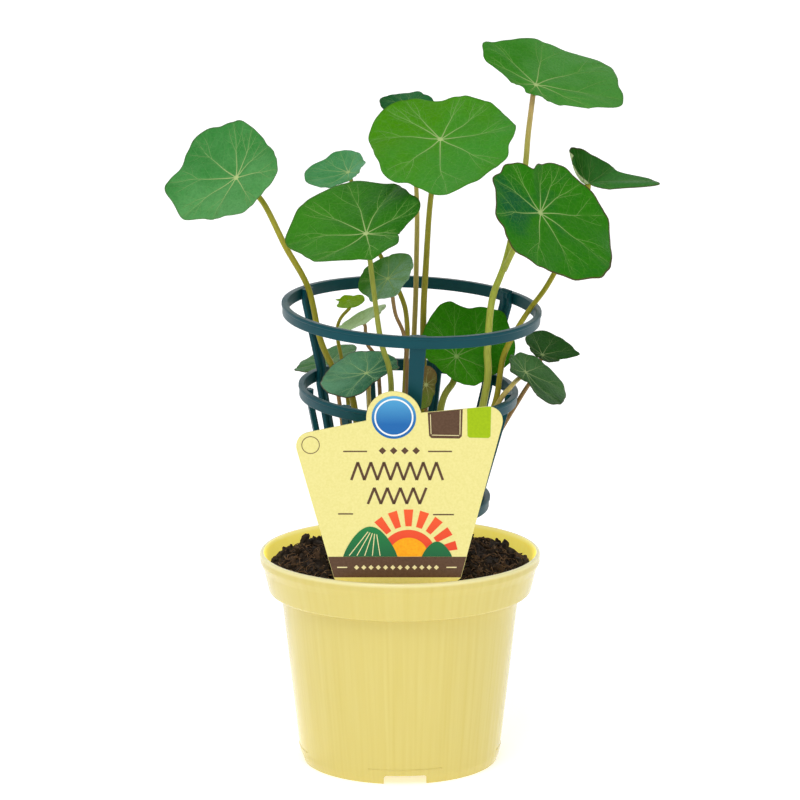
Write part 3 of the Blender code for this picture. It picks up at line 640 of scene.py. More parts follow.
def stem_material(name, colours):
    s = Shades(f"stalk_{name}", 0.42, 0.22)
    along = s.attribute("along")
    streak = s.noise(s.vector("MULTIPLY", s.place(), (1.0, 1.0, 0.12)), 1500.0)
    top, middle, bottom = colours
    upper = s.mix(s.remap(along, 0.05, 0.35), top, middle)
    whole = s.mix(s.remap(along, 0.4, 0.95), upper, bottom)
    s.give("Subsurface Weight", 0.15)
    s.give("Subsurface Radius", (0.001, 0.001, 0.0004))
    s.bump(streak, 0.25, 0.0003)
    darker = tuple(0.7 * c for c in middle)
    return s.colour(s.mix(s.remap(streak, 0.4, 0.75, 0.0, 0.4), whole, darker))


# The pot
def pot_inner_radius(z):
    if z > COLLAR_FOOT + POT_WALL:
        share = (z - COLLAR_FOOT) / (POT_HEIGHT - COLLAR_FOOT)
        outer = COLLAR_BOTTOM_RADIUS + share * (COLLAR_TOP_RADIUS - COLLAR_BOTTOM_RADIUS)
    else:
        outer = BODY_BOTTOM_RADIUS + z / COLLAR_FOOT * (BODY_TOP_RADIUS - BODY_BOTTOM_RADIUS)
    return outer - POT_WALL


def pot_profile():
    floor = FLOOR_UNDERSIDE + POT_WALL
    step = COLLAR_FOOT + POT_WALL
    corners = [(0.0, floor, 0), (pot_inner_radius(floor), floor, 2.0),
               (pot_inner_radius(COLLAR_FOOT), COLLAR_FOOT + 0.6, 0.3),
               (pot_inner_radius(step + 0.1), step, 0.8),
               (RIM_RADIUS - 2.3, POT_HEIGHT - 3.0, 2.0), (RIM_RADIUS - 1.7, POT_HEIGHT, 0.6),
               (RIM_RADIUS + 0.05, POT_HEIGHT - 0.1, 1.1), (RIM_RADIUS - 0.1, POT_HEIGHT - 3.8, 1.6),
               (COLLAR_TOP_RADIUS + 0.1, POT_HEIGHT - 7.0, 6.0), (COLLAR_BOTTOM_RADIUS, COLLAR_FOOT, 1.5),
               (BODY_TOP_RADIUS + 0.1, COLLAR_FOOT - 0.2, 1.2), (BODY_BOTTOM_RADIUS, 4.0, 8.0),
               (FOOT_OUTER, 0.0, 0.5), (FOOT_INNER, 0.0, 0.4), (FOOT_INNER, FLOOR_UNDERSIDE, 0.3),
               (0.0, FLOOR_UNDERSIDE, 0)]
    return round_path(corners, 5)


def cut(obj, cutters):
    """The object's mesh with the cutters taken away."""
    holder = bpy.data.collections.new("cutters")
    for cutter in cutters:
        holder.objects.link(cutter)
    modifier = obj.modifiers.new("cut", "BOOLEAN")
    modifier.operand_type = "COLLECTION"
    modifier.collection = holder
    modifier.solver = "EXACT"
    bpy.context.scene.collection.children.link(holder)
    bpy.context.view_layer.update()
    graph = bpy.context.evaluated_depsgraph_get()
    mesh = bpy.data.meshes.new_from_object(obj.evaluated_get(graph))
    bpy.data.objects.remove(obj)
    for cutter in cutters:
        bpy.data.objects.remove(cutter)
    bpy.data.collections.remove(holder)
    return mesh


def notch_cutter(degrees):
    """A block with rounded upper corners, across the pot's foot."""
    half = NOTCH_WIDTH / 2
    outline = round_path([(-half, -2.0, 0), (half, -2.0, 0), (half, NOTCH_HEIGHT, NOTCH_ROUNDING),
                          (-half, NOTCH_HEIGHT, NOTCH_ROUNDING)], closed=True)
    turn = Matrix.Rotation(radians(degrees), 4, "Z")
    points = [turn @ Vector((radius, p.x, p.y)) for radius in NOTCH_SPAN for p in outline]
    mesh = closed_mesh("notch_cutter", points, skin(2, len(outline)), smooth=False)
    return bpy.data.objects.new("notch_cutter", mesh)


def drain_cutter(index):
    centre = polar(DRAIN_CIRCLE, 2 * pi * index / DRAINS)
    low, high = DRAIN_SPAN
    points, faces = revolve([(0.0, low), (DRAIN_RADIUS, low), (DRAIN_RADIUS, high), (0.0, high)], 20)
    mesh = closed_mesh("drain_cutter", [p + centre for p in points], faces, smooth=False)
    return bpy.data.objects.new("drain_cutter", mesh)


def make_pot():
    draft = new_object("pot_draft", closed_mesh("pot_draft", *revolve(pot_profile(), POT_TURNS)))
    made = cut(draft, [notch_cutter(a) for a in NOTCH_ANGLES] + [drain_cutter(i) for i in range(DRAINS)])
    made.name = "pot_shell"
    made.shade_smooth()
    made.set_sharp_from_angle(angle=radians(40))
    add_piece("pot_shell", made, [pot_material()], ["pot"])


def make_pot_lines():
    """The fine raised line over each notch."""
    parts = []
    for degrees in NOTCH_ANGLES:
        turns = (degrees + LINE_HALF_ANGLE * (2 * step / LINE_STEPS - 1) for step in range(LINE_STEPS + 1))
        path = [polar(BODY_BOTTOM_RADIUS + LINE_PROUD, radians(turn), LINE_HEIGHT) for turn in turns]
        parts.append(tube(path, [LINE_RADIUS] * len(path))[:2])
    mesh = new_mesh("pot_foot_lines", *join_parts(parts))
    add_piece("pot_foot_lines", mesh, [bpy.data.materials["pot_plastic"]])


# The soil
def soil_height(x, y):
    """The top of the soil: the source's mound and crumbs, with finer lumps."""
    share = min(hypot(x, y) / pot_inner_radius(SOIL_TOP), 1.0)
    broad = sin(x / 7.1 + 1.3) * cos(y / 6.3 + 0.4)
    fine = sin(x / 3.1 + y / 4.7) * cos(y / 2.9 - x / 5.3)
    lumps = noise.noise(Vector((x / 4.0, y / 4.0, 2.0)))
    grains = noise.noise(Vector((x / 1.6, y / 1.6, 5.0)))
    return SOIL_TOP + SOIL_MOUND * (1 - share ** 2) + 0.9 * broad + 0.7 * fine + 1.4 * lumps + 0.7 * grains


def make_soil_bed():
    edge = pot_inner_radius(SOIL_TOP) - SOIL_GAP
    low = FLOOR_UNDERSIDE + POT_WALL + 0.3
    step = COLLAR_FOOT + POT_WALL + 0.3
    neck = pot_inner_radius(COLLAR_FOOT) - SOIL_GAP
    profile = [(0.0, SOIL_TOP)] + [(edge * (i / SOIL_RINGS), SOIL_TOP) for i in range(1, SOIL_RINGS + 1)]
    profile += [(edge, SOIL_TOP - 2.0), (pot_inner_radius(step + 1) - SOIL_GAP, step), (neck, step),
                (neck, COLLAR_FOOT - 2.0), (pot_inner_radius(low) - 1.5, low), (0.0, low)]
    points, faces = revolve(profile, SOIL_TURNS)
    for point in points[:1 + SOIL_RINGS * SOIL_TURNS]:
        point.z = soil_height(point.x, point.y)
    mesh = closed_mesh("soil_bed", points, faces)
    add_piece("soil_bed", mesh, [soil_material("soil_earth", (36, 29, 25), (70, 56, 46))], ["soil"])


def label_distance(point):
    """How far a point stands in front of the label's middle plane."""
    lean = radians(LABEL_LEAN)
    facing = Vector((0.0, -cos(lean), -sin(lean)))
    return (Vector(point) - LABEL_FOOT).dot(facing)


def clear_of_label(place, clearance):
    return abs(place[0]) >= LABEL_HALF_WIDTH_BELOW or abs(label_distance(place)) >= clearance


def make_crumbs():
    """Crumbs of soil: small lumps of irregular shape, heaped over the bed."""
    rng = random.Random(SEED)
    limit = pot_inner_radius(SOIL_TOP) - 0.8
    groups = {"dark": [], "brown": []}
    template = bmesh.new()
    bmesh.ops.create_icosphere(template, subdivisions=2, radius=1.0)
    ball = [v.co.copy() for v in template.verts]
    ball_faces = [tuple(v.index for v in f.verts) for f in template.faces]
    template.free()
    for _ in range(CRUMBS):
        size = 0.5 + 2.1 * rng.random() ** 3.2
        radius = (limit - size) * sqrt(rng.random())
        place = polar(radius, rng.uniform(0, 2 * pi))
        place.z = soil_height(place.x, place.y) + rng.uniform(-0.5, 0.6) * size
        if not clear_of_label(place, size + CRUMB_CLEARANCE):
            continue
        shape = Vector((rng.uniform(0.7, 1.6), rng.uniform(0.5, 1.0), rng.uniform(0.35, 0.8)))
        turn = Euler([rng.uniform(0, 2 * pi) for _ in range(3)]).to_matrix()
        seed = Vector((rng.uniform(0, 99), rng.uniform(0, 99), 0.0))
        points = []
        for p in ball:
            rough = 1 + 0.8 * noise.noise(p * 2.1 + seed)
            q = turn @ Vector((p.x * shape.x, p.y * shape.y, p.z * shape.z)) * (size * rough)
            points.append(place + q)
        groups["brown" if rng.random() < BROWN_CRUMBS else "dark"].append((points, ball_faces))
    materials = {"dark": soil_material("crumb_dark", (32, 26, 23), (70, 57, 47)),
                 "brown": soil_material("crumb_brown", (58, 44, 34), (104, 80, 60))}
    for name, parts in groups.items():
        mesh = new_mesh(f"soil_crumbs_{name}", *join_parts(parts))
        mesh.set_sharp_from_angle(angle=radians(50))
        add_piece(f"soil_crumbs_{name}", mesh, [materials[name]])


def make_fibres():
    """Bits of root and bark fibre that lie in the soil."""
    rng = random.Random(SEED + 1)
    limit = pot_inner_radius(SOIL_TOP) - 3.0
    parts = []
    for _ in range(FIBRES):
        radius, angle = limit * sqrt(rng.random()), rng.uniform(0, 2 * pi)
        way = rng.uniform(0, 2 * pi)
        place = polar(radius, angle)
        length, bend = rng.uniform(3.0, 9.0), rng.uniform(-0.25, 0.25)
        path = []
        for step in range(7):
            path.append(place.copy())
            place = place + polar(1.0, way) * (length / 6)
            way += bend
        if not all(hypot(p.x, p.y) <= limit and clear_of_label((p.x, p.y, SOIL_TOP), FIBRE_CLEARANCE)
                   for p in path):
            continue
        arch = rng.uniform(0.3, 1.6)
        for step, point in enumerate(path):
            point.z = soil_height(point.x, point.y) + 0.6 + arch * sin(pi * step / 6)
        parts.append(tube(path, [rng.uniform(0.11, 0.24)] * len(path))[:2])
    mesh = new_mesh("soil_fibres", *join_parts(parts))
    add_piece("soil_fibres", mesh, [soil_material("fibre_brown", (92, 68, 48), (152, 118, 86))])


# The cage
CAGE = Matrix.Translation(CAGE_PLACE) @ Euler([radians(a) for a in (*CAGE_LEAN, 0.0)]).to_matrix().to_4x4()


def make_ring(name, material):
    radius, height = RINGS[name]
    top, low = height + RING_HEIGHT / 2, height - RING_HEIGHT / 2
    profile = round_path([(radius - RING_WALL, low, 0.35), (radius - RING_WALL, top, 0.3),
                          (radius + RING_LIP, top, 0.3), (radius + RING_LIP, top - 1.2, 0.2),
                          (radius, top - 1.5, 0.2), (radius, low, 0.5)], 3, closed=True)
    mesh = closed_mesh(f"ring_{name}", *revolve(profile, RING_TURNS, CAGE, closed=True), sharp=40)
    add_piece(f"ring_{name}", mesh, [material], [f"cage_ring_{name}"])


def seat_radius(name):
    return RINGS[name][0] - RING_WALL - STRIP_GAP - STRIP_THICKNESS / 2


def spike_point(height):
    top = RINGS["lower"][1] - RING_HEIGHT / 2 - 0.5
    share = (top - height) / (top - SPIKE_END)
    return (seat_radius("lower") + share * (SPIKE_RADIUS - seat_radius("lower")), height)


def strip_section(width, web):
    """Half-widths and outward offsets round a strip: a flat face outside, a rib down the inside."""
    half, thick, rib = width / 2, STRIP_THICKNESS / 2, 0.7
    return [(-half + 0.3, thick), (half - 0.3, thick), (half, thick - 0.3), (half, -thick + 0.3),
            (half - 0.3, -thick), (rib, -thick), (rib - 0.2, -thick - web), (-rib + 0.2, -thick - web),
            (-rib, -thick), (-half + 0.3, -thick), (-half, -thick + 0.3), (-half, thick - 0.3)]


def strip(path, widths, web, degrees):
    """A strip swept along (radius, height) points at an angle round the cage."""
    turn = CAGE @ Matrix.Rotation(radians(degrees), 4, "Z")
    points = []
    count = len(path)
    for index, place in enumerate(path):
        ahead = (path[min(index + 1, count - 1)] - path[max(index - 1, 0)]).normalized()
        outward = Vector((-ahead.y, ahead.x))
        if outward.x < 0:
            outward = -outward
        for side, off in strip_section(widths[index], web):
            spot = place + outward * off
            points.append(turn @ Vector((spot.x, side, spot.y)))
    return points, skin(count, len(points) // count)


def add_strip(name, corners, widths, web, degrees, material):
    path = round_path([(*corner, STRIP_BEND) for corner in corners])
    spread = []
    for place in path:
        nearest = min(range(len(corners)), key=lambda i: (Vector(corners[i]) - place).length)
        spread.append(widths[nearest])
    mesh = closed_mesh(name, *strip(path, spread, web, degrees), sharp=30)
    add_piece(name, mesh, [material], [f"cage_{name}"])


def make_clip(material):
    """The moulded catch on top of the right leg: a low hooked tab with a step."""
    radius, height = seat_radius("upper"), RINGS["upper"][1] + RING_HEIGHT / 2
    outline = round_path([(radius - 1.6, height - 2.2, 0), (radius + 1.0, height - 2.2, 0),
                          (radius + 1.0, height + 1.2, 0.4), (radius - 0.2, height + 1.2, 0.3),
                          (radius - 0.6, height + 0.2, 0), (radius - 1.6, height + 0.2, 0.3)], 3, closed=True)
    turn = CAGE @ Matrix.Rotation(radians(LEG_ANGLES["right"]), 4, "Z")
    points = [turn @ Vector((p.x, side, p.y)) for side in (-CATCH_HALF, CATCH_HALF) for p in outline]
    mesh = closed_mesh("leg_right_catch", points, skin(2, len(outline)), sharp=30)
    add_piece("leg_right_catch", mesh, [material])


def make_cage():
    material = cage_material()
    for name in RINGS:
        make_ring(name, material)
    flush, past = RING_HEIGHT / 2 - 0.2, RING_HEIGHT / 2 + 0.5
    leg, rib = [], []
    for name, (_, height) in RINGS.items():
        seat = seat_radius(name)
        leg += [(seat, height + (past if leg else flush)), (seat, height - past)]
        if name != "upper":
            rib += [(seat, height + flush), (seat, height - flush)]
    leg += [spike_point(8.0), spike_point(SPIKE_END)]
    widths = [LEG_WIDTH + 1.0] * 2 + [LEG_WIDTH] * (len(leg) - 3) + [LEG_WIDTH / 2]
    for name, degrees in LEG_ANGLES.items():
        add_strip(f"leg_{name}", leg, widths, LEG_WEB, degrees, material)
    make_clip(material)
    for index, degrees in enumerate(RIB_ANGLES):
        add_strip(f"rib_{index + 1}", rib, [RIB_WIDTH] * len(rib), RIB_WEB, degrees, material)


# The label
LABEL = Matrix.Translation(LABEL_FOOT) @ Matrix.Rotation(radians(90 + LABEL_LEAN), 4, "X")


def label_outline():
    """The card's outline, with the round bump on its top edge after the first corner's arc."""
    steps = 8
    outline = round_path(LABEL_CORNERS, steps, closed=True)
    start, end = (radians(a) for a in BUMP_ENDS)
    bump = [BUMP_CENTRE + polar(1.0, start + (end - start) * step / BUMP_STEPS).xy * BUMP_RADIUS
            for step in range(BUMP_STEPS + 1)]
    return outline[:steps + 1] + bump + outline[steps + 1:]


def slab(outline, low, high, hole=()):
    """A flat plate on the label's plane, with an optional hole of as many points as its outline."""
    count = len(outline)
    points = [LABEL @ Vector((p[0], p[1], z)) for edge in (outline, hole) for z in (low, high) for p in edge]
    faces = skin(2, count)
    if not hole:
        return points, faces
    faces = faces[:count]
    for i in range(count):
        after = (i + 1) % count
        faces.append((2 * count + i, 3 * count + i, 3 * count + after, 2 * count + after))
        faces.append((i, 2 * count + i, 2 * count + after, after))
        faces.append((count + i, count + after, 3 * count + after, 3 * count + i))
    return points, faces


def disc(centre, radius, steps=64, start=0, end=360):
    """A circle, or an arc from one turn to another in degrees."""
    count = steps if end - start >= 360 else steps + 1
    turns = [radians(start + (end - start) * step / steps) for step in range(count)]
    return [(centre[0] + radius * cos(turn), centre[1] + radius * sin(turn)) for turn in turns]


def diamond(x, y, half, drop=0.0):
    """A square dot turned by 45 degrees about a point."""
    turn = Matrix.Rotation(radians(45), 2)
    corners = ((-half, -half), (half, -half), (half, half), (-half, half))
    return [turn @ Vector((a, b - drop)) + Vector((x, y)) for a, b in corners]


def line(a, b, width):
    """A straight thin bar from one point to another."""
    a, b = Vector(a), Vector(b)
    side = (b - a).normalized().orthogonal() * width / 2
    return [a - side, b - side, b + side, a + side]


def level_line(left, right, height, width=RULE_WIDTH):
    return line((left, height), (right, height), width)


def make_print(name, shapes, ink, level=1):
    """Thin ink on the card's front: each shape is an outline, or an outline and its hole."""
    low = LABEL_THICKNESS / 2 + (level - 1) * INK - INK_SUNK
    high = LABEL_THICKNESS / 2 + level * INK
    parts = []
    for shape in shapes:
        outline, hole = shape if isinstance(shape, tuple) else (shape, ())
        parts.append(slab(outline, low, high, hole))
    mesh = closed_mesh(name, *join_parts(parts), smooth=False)
    add_piece(name, mesh, [bpy.data.materials[f"ink_{ink}"]])


def zigzag(left, right, low, high, count):
    """Slanted bars that rise and fall in turn."""
    shapes = []
    pitch = (right - left) / count
    for index in range(count):
        x = left + index * pitch
        ends = ((x, low), (x + pitch, high)) if index % 2 == 0 else ((x, high), (x + pitch, low))
        shapes.append(line(*ends, ZIGZAG_WIDTH))
    return shapes


def make_label():
    half = LABEL_THICKNESS / 2
    mesh = closed_mesh("label_card", *slab(label_outline(), -half, half), smooth=False)
    add_piece("label_card", mesh, [card_material("card_yellow", (238, 228, 150), (232, 222, 140))],
              ["plant_label"])
    for ink, colours in INKS.items():
        card_material(f"ink_{ink}", *colours)
    for ink, colours in PAINTED_HIGHLIGHT_INKS.items():
        painted_highlight_ink(f"ink_{ink}", *colours)
    make_print("print_disc", [disc(DISC_CENTRE, 9.1)], "blue")
    make_print("print_disc_ring", [(disc(DISC_CENTRE, 8.0), disc(DISC_CENTRE, 7.35))], "white", 2)
    make_print("print_tag_brown", [[(11.3, 71.8), (11.9, 61.9), (12.9, 60.9), (24.3, 60.7), (25.3, 61.7),
                                    (25.6, 73.25)]], "brown")
    seams = (((13.0, 62.2), (24.2, 62.0)), ((12.7, 62.6), (12.4, 71.0)), ((24.5, 62.4), (24.6, 72.8)))
    make_print("print_tag_line", [line(*ends, 0.3) for ends in seams], "cream", 2)
    make_print("print_tag_lime", [[(27.4, 73.45), (27.6, 61.8), (28.4, 61.1), (36.2, 60.9), (37.0, 61.7),
                                   (37.2, 74.4)]], "lime")
    rings = [(disc(CIRCLE_CENTRE, 3.75, 40), disc(CIRCLE_CENTRE, 3.45, 40))]
    rules = [level_line(-23.3, -13.5, 55.2), level_line(11.5, 21.3, 55.2), level_line(-25.5, -19.3, 28.3),
             level_line(13.6, 22.2, 28.0)]
    dots = [diamond(x, 55.5, 1.1) for x in (-7.2, -2.6, 2.0, 6.6)]
    rows = zigzag(-20.0, 17.6, 42.9, 50.6, 14) + zigzag(-13.2, 10.8, 32.6, 39.6, 9)
    make_print("print_lines", rings + rules + dots + rows, "brown")
    make_print("print_band", [[(-29.7, 9.7), (-27.3, 0.7), (25.15, 0.7), (27.4, 9.7)]], "brown")
    marks = [level_line(-26.0, -21.8, BAND_MIDDLE, 0.5), level_line(19.2, 23.4, BAND_MIDDLE, 0.5)]
    marks += [diamond(x, BAND_MIDDLE, 0.75, 0.05) for x in range(-18, 18, 3)]
    make_print("print_band_marks", marks, "cream", 2)
    make_picture()


def hill(left, right, height, foot=SUN_CENTRE[1], steps=24):
    crest = []
    for step in range(1, steps):
        share = step / steps
        crest.append((right + (left - right) * share, foot + height * sin(pi * share) ** 0.8))
    return [(left, foot), (right, foot)] + crest


def make_picture():
    """A plain rising sun over two hills, on the band."""
    x, y = SUN_CENTRE
    rays = []
    for degrees in range(14, 180, 19):
        a, b = radians(degrees - RAY_HALF_ANGLE), radians(degrees + RAY_HALF_ANGLE)
        low, high = RAY_RADII
        rays.append([(x + r * cos(t), y + r * sin(t)) for r, t in ((low, a), (high, a), (high, b), (low, b))])
    make_print("print_sun", rays + [disc(SUN_CENTRE, 11.6, SUN_STEPS, 0, 180)], "orange")
    make_print("print_sun_core", [disc(SUN_CENTRE, 8.2, SUN_STEPS, 1, 179) + [SUN_CENTRE]], "amber", 2)
    make_print("print_hills", [hill(-23.5, -1.0, 13.0), hill(9.0, 21.5, 6.5)], "green", 3)
    furrows = [line((-21.0 + 3.2 * i, 10.2), (-13.2 + 0.9 * i, 20.6 - 0.3 * i), 0.35) for i in range(5)]
    make_print("print_furrows", furrows, "cream", 4)


# The leaves
def closed_smooth(values, place):
    """A smooth closed curve through values that stand one apart, at many places."""
    values = np.asarray(values, float)
    index = np.floor(place).astype(int)
    return smooth_between(*(values[(index + k) % len(values)] for k in (-1, 0, 1, 2)), place - index)


def leaf_axes(leaf):
    """The ways across and along the blade, and straight out of its upper side."""
    azimuth, elevation = (radians(a) for a in leaf.face)
    across = np.array([-sin(azimuth), cos(azimuth), 0.0])
    normal = np.array([cos(azimuth) * cos(elevation), sin(azimuth) * cos(elevation), sin(elevation)])
    return across, np.cross(normal, across), normal


def turned_by(angle):
    return np.array([cos(angle), sin(angle)])


def apart(angles, way):
    """How many degrees each angle lies past a way, from -180 to 180."""
    return (np.degrees(angles) - way + 180) % 360 - 180


class Blade:
    """A leaf's surface as a formula of the place (u, v) on its flat plane, in millimetres from the hub."""

    def __init__(self, name):
        self.leaf = leaf = LEAVES[name]
        self.across, self.along, self.normal = leaf_axes(leaf)
        self.hub = np.array(leaf.hub, float)
        self.reaches = []
        for vein in range(VEINS):
            middle = closed_smooth(leaf.veins, np.array([vein + 0.5]))[0]
            self.reaches += [leaf.veins[vein], middle + leaf.bulges[vein]]
        self.size = float(np.mean(self.reaches))
        letters = sum(ord(c) for c in name)
        self.seed = letters * 1.7
        self.rng = random.Random(SEED + letters)
        self.scale = min(1.0, 0.45 + self.size / 45)
        self.veins = []
        for degrees in LOOKS[name].turns:
            self.add_vein(radians(degrees))

    def reach(self, angle):
        """The margin's distance, with its small teeth and unevenness."""
        base = closed_smooth(self.reaches, (angle / (2 * pi)) % 1.0 * len(self.reaches))
        for way, out, half in self.leaf.lobes:
            base = base + out * np.exp(-(apart(angle, way) / half) ** 2)
        uneven = 0.16 * np.sin(11 * angle + self.seed) + 0.10 * np.sin(23 * angle + 2 * self.seed)
        return base + uneven * min(1.0, self.size / 20)

    def reach_at(self, angle):
        return float(self.reach(np.array([angle]))[0])

    def lift(self, u, v):
        angle = np.arctan2(v, u)
        share = np.hypot(u, v) / self.reach(angle)
        leaf = self.leaf
        ripple = np.sin(leaf.count * angle + radians(leaf.phase))
        return leaf.rise * share ** 2 + leaf.wave * share ** 3 * ripple

    def near(self, u, v, level):
        """How close a place is to a vein, from 0 to 1: a main vein, or any but the twigs."""
        place = np.stack([u, v], 1)
        nearness = np.zeros(len(u))
        spread = 1.9 if level == MAIN else 0.8
        for order, path, _, strengths in self.veins:
            if order > level:
                continue
            a, edge = path[:-1], path[1:] - path[:-1]
            length = np.maximum((edge ** 2).sum(1), 1e-9)
            t = np.clip(((place[:, None] - a) * edge).sum(2) / length, 0, 1)
            gap = np.sqrt(((place[:, None] - a - t[..., None] * edge) ** 2).sum(2)).min(1)
            nearness = np.maximum(nearness, np.exp(-(gap / spread) ** 2) * strengths[0])
        return nearness

    def relief(self, u, v):
        """The blade swells between its veins and lies lower along them."""
        grip = np.clip(np.hypot(u, v) / 4.0, 0, 1)
        swell = 0.62 * (1 - self.near(u, v, MAIN)) + 0.16 * (1 - self.near(u, v, BRANCH))
        waves = 0.5 * np.sin(u / 4.7 + self.seed) * np.cos(v / 5.3 - self.seed) * grip
        return min(1.0, self.size / SIZE_OF_LARGE_RELIEF) * (swell + waves) * grip

    def place(self, u, v, height):
        flat = self.hub + np.outer(u, self.across) + np.outer(v, self.along)
        return flat + np.outer(self.lift(u, v) + height, self.normal)

    def plane(self, u, v):
        """The flat place for the material, with the leaf's own seed as a third value."""
        return np.stack([u, v, np.full(len(u), self.seed)], 1)

    def add_vein(self, angle):
        """A main vein and its branches, each kept as its order, path, widths and strengths."""
        rng = self.rng
        length = self.reach_at(angle) * VEIN_REACH
        bend, phase = rng.uniform(-0.05, 0.05), rng.uniform(0, 6)
        share = np.linspace(0, 1, 19)
        wander = bend * np.sin(pi * share) + 0.010 * share * np.sin(13 * share + phase)
        sideways = [-sin(angle), cos(angle)]
        path = np.outer(share * length, turned_by(angle)) + np.outer(wander * length, sideways)
        self.veins.append((MAIN, path, self.scale * (0.48 * (1 - share) ** 1.3 + 0.18), 0.95 - 0.66 * share))
        way = rng.choice((-1, 1))
        fork = rng.uniform(0.50, 0.62)
        for turn in (-1, 1):
            spot = fork + 0.03 * turn * way
            self.add_branch(path, spot, turn, length * 0.95 * (1 - fork), BRANCH, (24, 36))
        for spot in (0.30, 0.42, 0.74, 0.86):
            way = -way
            spot += rng.uniform(-0.04, 0.04)
            self.add_branch(path, spot, way, length * (0.34 * (1 - spot) + 0.12), TWIG, (40, 58))

    def add_branch(self, parent, spot, way, length, order, fan, steps=9):
        """A branch that leaves a vein to one side and bends back towards the margin."""
        rng = self.rng
        index = spot * (len(parent) - 1)
        low = min(int(index), len(parent) - 2)
        ahead = parent[low + 1] - parent[low]
        heading = atan2(ahead[1], ahead[0]) + way * radians(rng.uniform(*fan))
        points = [parent[low] + ahead * (index - low)]
        for _ in range(steps):
            heading -= way * radians(rng.uniform(0.0, 3.5))
            heading += radians(rng.uniform(-5, 5))
            tip = points[-1] + turned_by(heading) * length / steps
            if hypot(*tip) > self.reach_at(atan2(tip[1], tip[0])) * BRANCH_REACH:
                break
            points.append(tip)
        if len(points) < 3:
            return
        path = np.array(points)
        share = np.linspace(0, 1, len(points))
        if order == BRANCH:
            width, strength = 0.28, 0.40 - 0.22 * share
        else:
            width, strength = 0.18, 0.20 - 0.12 * share
        self.veins.append((order, path, self.scale * (width - 0.10 * share), strength))
        if order == BRANCH:
            for part, turn in ((0.35, way), (0.6, -way)):
                part += rng.uniform(-0.08, 0.08)
                self.add_branch(path, part, turn, length * 0.5, TWIG, (38, 55))


def blade_mesh(name, blade):
    sectors, rings = LARGE_GRID if max(blade.leaf.veins) > LARGE_LEAF else SMALL_GRID
    angles = np.linspace(0, 2 * pi, sectors, endpoint=False)
    reach = blade.reach(angles)
    shares = (np.arange(1, rings + 1) / rings) ** 0.9
    u = np.concatenate([[0.0], np.outer(shares, reach * np.cos(angles)).ravel()])
    v = np.concatenate([[0.0], np.outer(shares, reach * np.sin(angles)).ravel()])
    share = np.concatenate([[0.0], np.repeat(shares, sectors)])
    relief = blade.relief(u, v)
    half = BLADE_HALF + (RIM_HALF - BLADE_HALF) * share ** 6
    count = len(u)
    faces = []
    for s in range(sectors):
        t = (s + 1) % sectors
        faces.append((0, 1 + s, 1 + t))
        faces.append((count, count + 1 + t, count + 1 + s))
        for ring in range(rings - 1):
            a, b = 1 + ring * sectors, 1 + (ring + 1) * sectors
            faces.append((a + s, b + s, b + t, a + t))
            faces.append((count + a + s, count + a + t, count + b + t, count + b + s))
        a = 1 + (rings - 1) * sectors
        faces.append((a + s, count + a + s, count + a + t, a + t))
    points = np.concatenate([blade.place(u, v, relief + half), blade.place(u, v, relief - half)])
    mesh = new_mesh(f"blade_{name}", points, faces)
    look = LOOKS[name]
    # Where the second colour lies: a run across the blade, partly the leaf's own tone and partly painted
    # sheen.
    way = radians(look.tint_way)
    tint = 0.5 + 0.75 * (u * cos(way) + v * sin(way)) / blade.size
    # Painted shade: on the wedge leaf the darker second colour fills a wedge out from the hub.
    if name == PAINTED_SHADE_WEDGE_LEAF:
        gap = apart(np.arctan2(v, u), look.tint_way)
        tint = np.clip(1.6 - np.abs(gap) / PAINTED_SHADE_WEDGE_HALF, 0, 1) * np.clip(2.4 - 2.0 * share, 0, 1)
    for layer, values in (("tint", np.clip(tint, 0, 1)), ("near", blade.near(u, v, BRANCH)), ("rim", share)):
        set_values(mesh, layer, np.tile(values, 2))
    set_vectors(mesh, "plane", np.tile(blade.plane(u, v), (2, 1)))
    mesh.polygons.foreach_set("material_index", np.array([min(f) >= count for f in faces], np.int32))
    return mesh


def vein_ridge(blade, path, widths, strengths, face):
    """A low ridge along a vein: face 1 is the upper side of the blade and -1 the underside."""
    ahead = np.gradient(path, axis=0)
    ahead /= np.linalg.norm(ahead, axis=1)[:, None]
    side = np.stack([-ahead[:, 1], ahead[:, 0]], 1)
    proud, width = (0.10, widths) if face > 0 else (0.35, widths * 1.3)
    points, planes = [], []
    for across, height in ((-0.5, -0.06), (0.0, 1.0), (0.5, -0.06), (0.0, -0.3)):
        u, v = (path + side * (width * across)[:, None]).T
        out = BLADE_HALF + (proud * np.minimum(1.0, widths / 0.5) if height > 0 else 0.3 * height)
        points.append(blade.place(u, v, blade.relief(u, v) + face * out))
        planes.append(blade.plane(u, v))
    count = len(path)
    faces = []
    for index in range(4):
        a, b = index * count, (index + 1) % 4 * count
        faces += [(a + i, b + i, b + i + 1, a + i + 1) for i in range(count - 1)]
    faces.append((0, count, 2 * count, 3 * count))
    faces.append((4 * count - 1, 3 * count - 1, 2 * count - 1, count - 1))
    return np.concatenate(points), faces, np.tile(strengths, 4), np.concatenate(planes)


